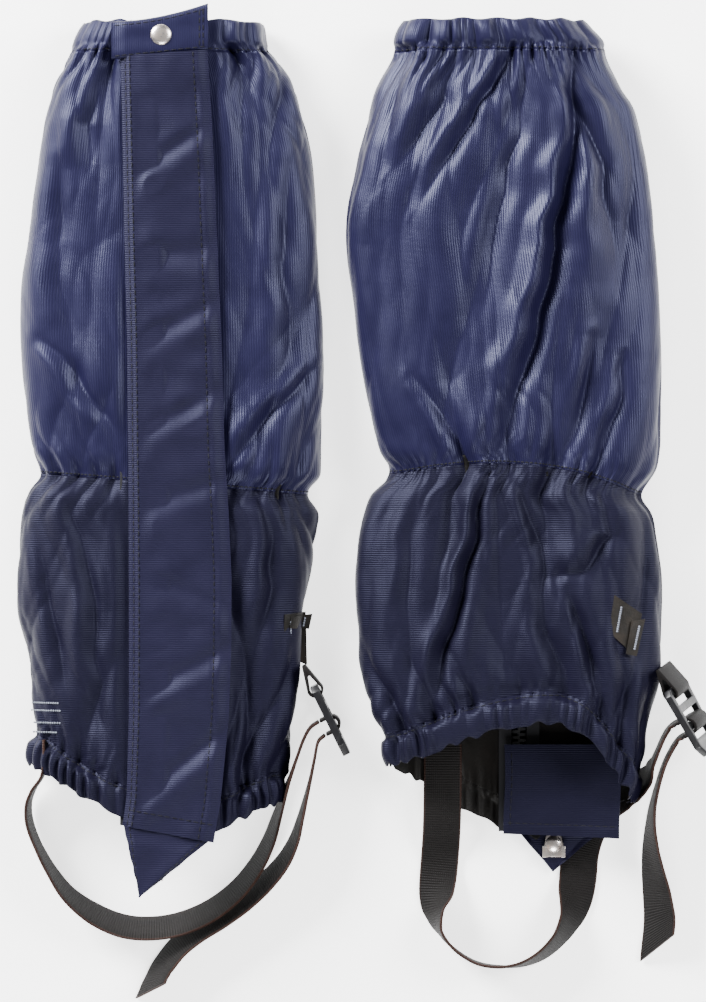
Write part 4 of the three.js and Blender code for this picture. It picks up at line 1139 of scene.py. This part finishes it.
def lathe(name, profile, centre, material, segments=48):
    """A turned piece: a ring of its profile is spun about the vertical through centre."""
    mesh = bpy.data.meshes.new(name)
    obj = link(name, mesh, [material])
    bm = bmesh.new()
    verts = [bm.verts.new((centre[0] + r * MM, centre[1], z * MM)) for r, z in profile]
    for a, b in zip(verts, verts[1:]):
        bm.edges.new((a, b))
    bm.to_mesh(mesh)
    bm.free()
    only(obj)
    bpy.ops.object.mode_set(mode="EDIT")
    bpy.ops.mesh.select_all(action="SELECT")
    bpy.ops.mesh.spin(steps=segments, angle=2 * math.pi, center=(centre[0], centre[1], 0), axis=(0, 0, 1))
    bpy.ops.mesh.select_all(action="SELECT")
    bpy.ops.mesh.remove_doubles(threshold=1e-6)
    bpy.ops.mesh.normals_make_consistent(inside=False)
    bpy.ops.object.mode_set(mode="OBJECT")
    smooth(obj, 40)
    return obj


# Turned profiles for a gaiter that lies front up: radius and height, in millimetres.
CAP_PROFILE = [
    (0, 41.15), (1.6, 41.12), (3.2, 40.92), (4.4, 40.55), (5.2, 40.05), (5.55, 39.6), (5.6, 39.3),
    (5.3, 39.05), (1.4, 39.0), (1.4, 37.1), (0, 37.1),
]
SOCKET_PROFILE = [
    (3.05, 35.5), (5.0, 35.5), (5.45, 35.8), (5.6, 36.2), (5.5, 36.7), (3.05, 36.7), (2.9, 36.1),
    (3.05, 35.5),
]
STUD_PROFILE = [
    (0, 36.3), (1.7, 36.25), (2.4, 35.95), (2.7, 35.7), (2.4, 35.35), (2.5, 35.1), (4.3, 35.0),
    (4.6, 34.75), (4.6, 34.35), (0, 34.35),
]
RIVET_PROFILE = [
    (0, 33.5), (1.2, 33.6), (2.6, 33.95), (3.8, 34.5), (4.5, 35.1), (4.4, 35.4), (1.2, 35.5),
    (1.2, 37.1), (0, 37.1),
]
# One tooth of the coil, seen along the zip: across and up, as shares of its size.
TOOTH_PROFILE = [
    (-0.28, 0.3), (-0.1, 0.02), (0.7, 0.1), (1.0, 0.3), (1.0, 0.7), (0.7, 0.9), (-0.1, 0.98),
    (-0.28, 0.7),
]


def flip_profile(side, profile):
    return profile if side["up"] else [(r, STACK_HEIGHT - z) for r, z in profile]


class GAITER_OT_press_studs(bpy.types.Operator):
    """Turn the press studs, their sockets and domed caps"""

    bl_idname = "gaiter.press_studs"
    bl_label = "Press studs"

    def execute(self, context):
        for side in SIDES:
            name = side["name"]
            at = place(side["seam"] + SNAP_FROM_SEAM, SNAP_Y, 0)
            centre = (at.x, at.y)
            for base, profile, body in (
                    ("snap_cap", CAP_PROFILE, "flap"), ("snap_socket", SOCKET_PROFILE, "flap"),
                    ("snap_stud", STUD_PROFILE, "sleeve")):
                turned = flip_profile(side, profile)
                obj = lathe(name + base + "_turned", turned, centre, FINISH["nickel"])
                finish_piece(obj, name + body, "nickel", name + base)
        return {"FINISHED"}


class GAITER_OT_lace_hooks(bpy.types.Operator):
    """Press the lace hooks and set their rivets"""

    bl_idname = "gaiter.lace_hooks"
    bl_label = "Lace hooks"

    def execute(self, context):
        for side in SIDES:
            name = side["name"]
            hook = refined_copy(name + "lace_hook", name + "lace_hook_pressed", FINISH["nickel"], 0.3, 3)
            finish_piece(hook, name + "flap", "nickel", name + "lace_hook")
            low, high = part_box(name + "hook_rivet")
            centre = ((low[0] + high[0]) / 2, (low[1] + high[1]) / 2)
            turned = flip_profile(side, RIVET_PROFILE)
            obj = lathe(name + "hook_rivet_turned", turned, centre, FINISH["nickel"])
            finish_piece(obj, name + "flap", "nickel", name + "hook_rivet")
        return {"FINISHED"}


def build_guard(context, side):
    """The facing behind the zip's lower end, hemmed below and stitched down its sewn edge."""
    name, up = side["name"], side["up"]
    low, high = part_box(name + "zip_guard")
    x0, x1 = low.x / MM + MIDDLE[0], high.x / MM + MIDDLE[0]
    y0, y1 = low.y / MM + MIDDLE[1], high.y / MM + MIDDLE[1]
    rows, cols = 50, 70
    t = np.linspace(0, 1, rows)[:, None]
    u = np.linspace(0, 1, cols)[None, :]
    x = x0 + (x1 - x0) * u + 0.5 * np.sin(5 * t) + 0 * t
    y = y1 + (y0 - y1) * t - 2.4 * u * t
    z = 27.4 + 0.7 * value_noise(x / 19, y / 23, side["seed"] + 600) - 3.0 * u**3
    z = z - 0.5 * smooth_step(0.88, 0.9, t)
    points = to_world(side, np.stack([x, y, z], axis=-1))
    uv = np.stack([x + UV_SHIFT[0], y + UV_SHIFT[1]], axis=-1)
    obj = grid_piece(name + "zip_guard_cloth", points, uv, [FINISH["oxford"]], flip=up)
    thicken(obj, GUARD_CLOTH * MM)
    smooth(obj, 60)
    finish_piece(obj, name + "sleeve", "oxford", name + "zip_guard")
    lift = -0.55 if up else 0.55
    lines = [[place(p[0], p[1], p[2] + lift * 1.6) for p in points[4:46, 4]],
             [place(p[0], p[1], p[2] + lift * 1.6) for p in points[43, 2:68]]]
    length = context.scene.gaiter_sizes.stitch_length
    seams = stitches(name + "guard_thread", lines, FINISH["thread"], length)
    finish_piece(seams, name + "sleeve", "binding")


class GAITER_OT_zips(bpy.types.Operator):
    """Make the zips: tapes, coil, box, guard, slider and pull"""

    bl_idname = "gaiter.zips"
    bl_label = "Zips"

    def execute(self, context):
        for side in SIDES:
            name = side["name"]
            sleeve = name + "sleeve"
            for node in ("zip_tape_inner", "zip_tape_outer"):
                tape = refined_copy(name + node, name + node + "_woven", FINISH["tape"], 0.15, 1)
                finish_piece(tape, sleeve, "binding", name + node)
            box = refined_copy(name + "zip_box", name + "zip_box_moulded", FINISH["coil"], 0.35)
            finish_piece(box, sleeve, "coil", name + "zip_box")
            build_guard(context, side)
            slider = refined_copy(name + "zip_slider", name + "zip_slider_cast", FINISH["nickel"], 0.18)
            finish_piece(slider, name + "slider", "nickel", name + "zip_slider")
            pull = refined_copy(name + "zip_pull", name + "zip_pull_cast", FINISH["nickel"], 0.25)
            finish_piece(pull, name + "pull", "nickel", name + "zip_pull")
            self.coil(side)
        return {"FINISHED"}

    def coil(self, side):
        """Two interlocked rows of teeth, each a rounded hook with a few faces."""
        name = side["name"]
        low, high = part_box(name + "zip_teeth")
        pitch = COIL_PITCH * MM
        middle = (low[0] + high[0]) / 2
        half_x, z0, z1 = (high[0] - low[0]) / 2, low[2], high[2]
        verts, faces = [], []
        count = int((high[1] - low[1] - 0.001) / pitch)
        for k in range(count):
            sign = 1 if k % 2 else -1
            y = low[1] + 0.0005 + (k + 0.5) * pitch
            base = len(verts)
            for wide in (-0.42, 0.42):
                for out, up in TOOTH_PROFILE:
                    wider = 1.5 if out < 0 else 1.1
                    verts.append((middle + sign * half_x * out * 0.97, y + wide * pitch * wider,
                                  z0 + (z1 - z0) * up))
            n = len(TOOTH_PROFILE)
            for q in range(n):
                a, b = base + q, base + (q + 1) % n
                faces.append((a, b, b + n, a + n))
            faces.append(tuple(base + q for q in reversed(range(n))))
            faces.append(tuple(base + n + q for q in range(n)))
        mesh = bpy.data.meshes.new(name + "zip_coil")
        mesh.from_pydata(verts, [], faces)
        obj = link(name + "zip_coil", mesh, [FINISH["coil"]])
        bm = bmesh.new()
        bm.from_mesh(mesh)
        bmesh.ops.recalc_face_normals(bm, faces=bm.faces)
        bm.to_mesh(mesh)
        bm.free()
        smooth(obj, 35)
        finish_piece(obj, name + "sleeve", "coil", name + "zip_teeth")


# ------------------------------------------------------------------ straps


def strap_path(points, steps):
    """Centre, direction and width direction along a strap, as the frame's own strap runs."""
    centres = [Vector(p[:3]) for p in points]
    n = len(centres)

    def tangent(i):
        if i == 0:
            return centres[1] - centres[0]
        if i == n - 1:
            return centres[-1] - centres[-2]
        return (centres[i + 1] - centres[i - 1]) / 2

    rows = []
    for k in range(steps + 1):
        s = k / steps * (n - 1)
        i = min(int(s), n - 2)
        f = s - i
        p0, p1 = centres[i], centres[i + 1]
        m0, m1 = tangent(i), tangent(i + 1)
        f2, f3 = f * f, f * f * f
        at = p0 * (2 * f3 - 3 * f2 + 1) + m0 * (f3 - 2 * f2 + f) + p1 * (3 * f2 - 2 * f3) + m1 * (f3 - f2)
        along = (p0 * (6 * f2 - 6 * f) + m0 * (3 * f2 - 4 * f + 1) + p1 * (6 * f - 6 * f2)
                 + m1 * (3 * f2 - 2 * f)).normalized()
        roll = math.radians(points[i][3] * (1 - f) + points[i + 1][3] * f)
        level = Vector((along.y, -along.x, 0)).normalized()
        up = level.cross(along).normalized()
        across = level * math.cos(roll) + up * math.sin(roll)
        normal = along.cross(across).normalized()
        lowest = STRAP_WIDTH / 2 * abs(across.z) + STRAP_THICKNESS / 2 * abs(normal.z) + 0.15
        at.z = max(at.z, lowest)
        rows.append((at, along, across, normal))
    return rows


# The upper half of the webbing's section, with a rolled selvedge at each edge.
STRAP_SECTION = [
    (-1.0, 0.0), (-0.985, 0.55), (-0.94, 0.9), (-0.88, 0.78), (-0.8, 1.0), (-0.4, 1.0), (0.0, 1.0),
    (0.4, 1.0), (0.8, 1.0), (0.88, 0.78), (0.94, 0.9), (0.985, 0.55), (1.0, 0.0),
]


def strap_piece(name, rows, pointed=False):
    """Webbing swept along its path: a flat weave between two rounded selvedges."""
    ring = STRAP_SECTION + [(u, -v) for u, v in reversed(STRAP_SECTION[1:-1])]
    half, thick = STRAP_WIDTH / 2, STRAP_THICKNESS / 2
    points, uv = [], []
    run = 0.0
    for k, (at, along, across, normal) in enumerate(rows):
        if k:
            run += (at - rows[k - 1][0]).length
        row, tex = [], []
        cut = float(smooth_step(len(rows) * 0.8, len(rows) - 1, k))
        for u, v in ring:
            lead = -STRAP_WIDTH * TAIL_CUT * u * cut if pointed else 0.0
            q = at + across * (u * half) + normal * (v * thick) + along * lead
            row.append(tuple(q))
            tex.append((half + u * half, run + 200 * (v < 0)))
        points.append(row)
        uv.append(tex)
    obj = grid_piece(name, np.array(points), np.array(uv), [FINISH["webbing"]], closed_u=True)
    bm = bmesh.new()
    bm.from_mesh(obj.data)
    bm.verts.ensure_lookup_table()
    bm.faces.new([bm.verts[i] for i in range(len(ring))])
    tail = len(bm.verts) - len(ring)
    bm.faces.new([bm.verts[tail + i] for i in reversed(range(len(ring)))])
    bmesh.ops.recalc_face_normals(bm, faces=bm.faces)
    bm.to_mesh(obj.data)
    bm.free()
    smooth(obj, 50)
    return obj


class GAITER_OT_straps(bpy.types.Operator):
    """Run the foot straps and their tails along their routes"""

    bl_idname = "gaiter.straps"
    bl_label = "Foot straps"

    def execute(self, context):
        for side in SIDES:
            name = side["name"]
            for base, steps, far_end in (("foot_strap", 180, "object"), ("strap_tail", 110, "bare")):
                key = "strap" if base == "foot_strap" else "tail"
                rows = strap_path(side[key], steps)
                obj = strap_piece(name + base + "_webbing", rows, pointed=base == "strap_tail")
                finish_piece(obj, None, "webbing", name + base)
                blend_to_buckle(obj)
        return {"FINISHED"}


def blend_to_buckle(obj):
    """Bakes the strap's transform into its mesh."""
    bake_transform(obj)


class GAITER_OT_buckles(bpy.types.Operator):
    """Mould the ladder-lock buckles and fit the loops that pass round their bars"""

    bl_idname = "gaiter.buckles"
    bl_label = "Buckles and loops"

    def execute(self, context):
        for side in SIDES:
            name = side["name"]
            buckle = refined_copy(name + "buckle", name + "buckle_moulded", FINISH["plastic"], 0.7, 3)
            finish_piece(buckle, name + "buckle", "plastic", name + "buckle")
            for base, body in (("anchor_loop", "sleeve"), ("strap_wrap", "buckle")):
                obj = refined_copy(name + base, name + base + "_webbing", FINISH["loop_weave"], 0.3)
                finish_piece(obj, name + body, "webbing", name + base)
        return {"FINISHED"}


# Corners of each patch and label on the face that shows: top edge, then bottom edge.
PATCHES = {
    "left_": ([(-37.4, -85), (-26.8, -84), (-26.0, -112), (-38.6, -107)],
              [(-33.6, -86.5), (-23.2, -85), (-25.0, -93), (-34.4, -92.4)]),
    "right_": ([(134.6, -74.5), (149.4, -84.5), (144.6, -105.5), (131.6, -93.8)],
               [(143.8, -88.4), (151.0, -87.2), (146.4, -106.6), (140.8, -105.4)]),
}


def cloth_height(side, x, y):
    """Height of the sleeve's face that shows, in the way it lies."""
    inner, outer = edge_curves(side, np.asarray(y, float))
    ux = np.clip((x - (inner + outer) / 2) / ((outer - inner) / 2), -1, 1)
    uz = (1 - np.abs(ux) ** SECTION_POWER) ** (1 / SECTION_POWER)
    if side["up"]:
        return side["edge_z"] + (SLEEVE_HEIGHT - side["edge_z"]) * uz
    return STACK_HEIGHT - side["edge_z"] + (side["edge_z"] - LOWEST_CLOTH) * uz


def build_patch(side, base, corners, slot_name):
    """A coated patch that lies on the cloth, with a tack across it."""
    name = side["name"]
    rows, cols = 26, 18
    t = np.linspace(0, 1, rows)[:, None]
    u = np.linspace(0, 1, cols)[None, :]
    a, b, c, d = (np.array(p, float) for p in corners)
    x = (a[0] * (1 - u) + b[0] * u) * (1 - t) + (d[0] * (1 - u) + c[0] * u) * t
    y = (a[1] * (1 - u) + b[1] * u) * (1 - t) + (d[1] * (1 - u) + c[1] * u) * t
    rise = {"strap_patch": 3.4, "label": 4.9}[base]
    z = cloth_height(side, x, y) + rise + 0.35 * value_noise(x / 6, y / 8, side["seed"] + 700)
    points = np.stack([x, y, z], axis=-1)
    uv = np.stack([x + UV_SHIFT[0], y + UV_SHIFT[1]], axis=-1)
    obj = grid_piece(name + base + "_sewn", points, uv, [FINISH["patch"]], flip=True)
    thicken(obj, PATCH_CLOTH * MM)
    smooth(obj, 50)
    finish_piece(obj, name + "sleeve", slot_name, name + base)
    column = 5 if base == "strap_patch" else 11
    line = [place(p[0], p[1], p[2] + 0.2) for p in points[4:22, column]]
    tack = stitches(name + base + "_tack", [line], FINISH["tack"], 0.0011, 1.0, 0.95)
    finish_piece(tack, name + "sleeve", "binding")


class GAITER_OT_outer_trim(bpy.types.Operator):
    """Sew on the strap patches and labels, with a tack across each"""

    bl_idname = "gaiter.outer_trim"
    bl_label = "Patches, labels and tacks"

    def execute(self, context):
        for side in SIDES:
            name = side["name"]
            patch, label = PATCHES[name]
            build_patch(side, "strap_patch", patch, "coated")
            build_patch(side, "label", label, "binding")
        return {"FINISHED"}


# ------------------------------------------------------------------ stage


CAMERA_HEIGHT, CAMERA_LENS = 2.4, 162.5
# Soft lights: name, place, size in metres and power.
LIGHTS = [
    ("key", (-1.5, 1.3, 0.95), 0.9, 270.0),
    ("side", (1.7, 0.7, 1.3), 1.1, 100.0),
    ("low", (0.1, -1.9, 1.3), 1.1, 60.0),
]


class GAITER_OT_stage(bpy.types.Operator):
    """Set the floor, soft lights and camera"""

    bl_idname = "gaiter.stage"
    bl_label = "Stage"

    def execute(self, context):
        scene = context.scene
        camera = bpy.data.objects.new("camera", bpy.data.cameras.new("camera"))
        scene.collection.objects.link(camera)
        view = place(-1.8, -25.5, 0)
        camera.location = (view.x, view.y, CAMERA_HEIGHT)
        camera.data.lens = CAMERA_LENS
        camera.data.clip_end = 20
        scene.camera = camera

        bpy.ops.mesh.primitive_plane_add(size=6, location=(0, 0, 0))
        floor = context.active_object
        floor.name = "floor"
        m = Nodes("pale_floor")
        m.set(Base_Color=(0.93, 0.93, 0.93, 1.0), Roughness=0.9,
              Emission_Color=(1.0, 1.0, 1.0, 1.0), Emission_Strength=2.0)
        floor.data.materials.append(m.material)

        world = bpy.data.worlds.new("soft_room")
        world.use_nodes = True
        background = world.node_tree.nodes["Background"]
        background.inputs["Color"].default_value = (1, 1, 1, 1)
        background.inputs["Strength"].default_value = 0.35
        scene.world = world
        for label, at, size, energy in LIGHTS:
            data = bpy.data.lights.new(label, "AREA")
            data.size = size
            data.energy = energy
            lamp = bpy.data.objects.new(label, data)
            lamp.location = at
            lamp.rotation_euler = (-Vector(at)).to_track_quat("-Z", "Y").to_euler()
            scene.collection.objects.link(lamp)
        return {"FINISHED"}


class GAITER_PT_tools(bpy.types.Panel):
    """Steps that make the pair, in order"""

    bl_label = "Gaiters"
    bl_space_type = "VIEW_3D"
    bl_region_type = "UI"
    bl_category = "Gaiters"

    def draw(self, context):
        for group in (context.scene.gaiter_sizes, context.scene.gaiter_colours):
            for key in group.bl_rna.properties.keys():
                if key not in ("rna_type", "name"):
                    self.layout.prop(group, key)
        for step in STEPS:
            self.layout.operator(step.bl_idname)


STEPS = (GAITER_OT_stage, GAITER_OT_straps, GAITER_OT_sleeve_cloth, GAITER_OT_storm_flaps,
         GAITER_OT_press_studs, GAITER_OT_lace_hooks, GAITER_OT_zips, GAITER_OT_buckles,
         GAITER_OT_outer_trim)
CLASSES = (GaiterSizes, GaiterColours, *STEPS, GAITER_PT_tools)


def register():
    for cls in CLASSES:
        bpy.utils.register_class(cls)
    bpy.types.Scene.gaiter_sizes = bpy.props.PointerProperty(type=GaiterSizes)
    bpy.types.Scene.gaiter_colours = bpy.props.PointerProperty(type=GaiterColours)


def unregister():
    del bpy.types.Scene.gaiter_colours
    del bpy.types.Scene.gaiter_sizes
    for cls in reversed(CLASSES):
        bpy.utils.unregister_class(cls)


def main():
    register()
    make_finishes(bpy.context)
    bpy.ops.gaiter.stage()
    bpy.ops.gaiter.straps()
    bpy.ops.gaiter.sleeve_cloth()
    bpy.ops.gaiter.storm_flaps()
    bpy.ops.gaiter.press_studs()
    bpy.ops.gaiter.lace_hooks()
    bpy.ops.gaiter.zips()
    bpy.ops.gaiter.buckles()
    bpy.ops.gaiter.outer_trim()


if __name__ == "__main__":
    main()
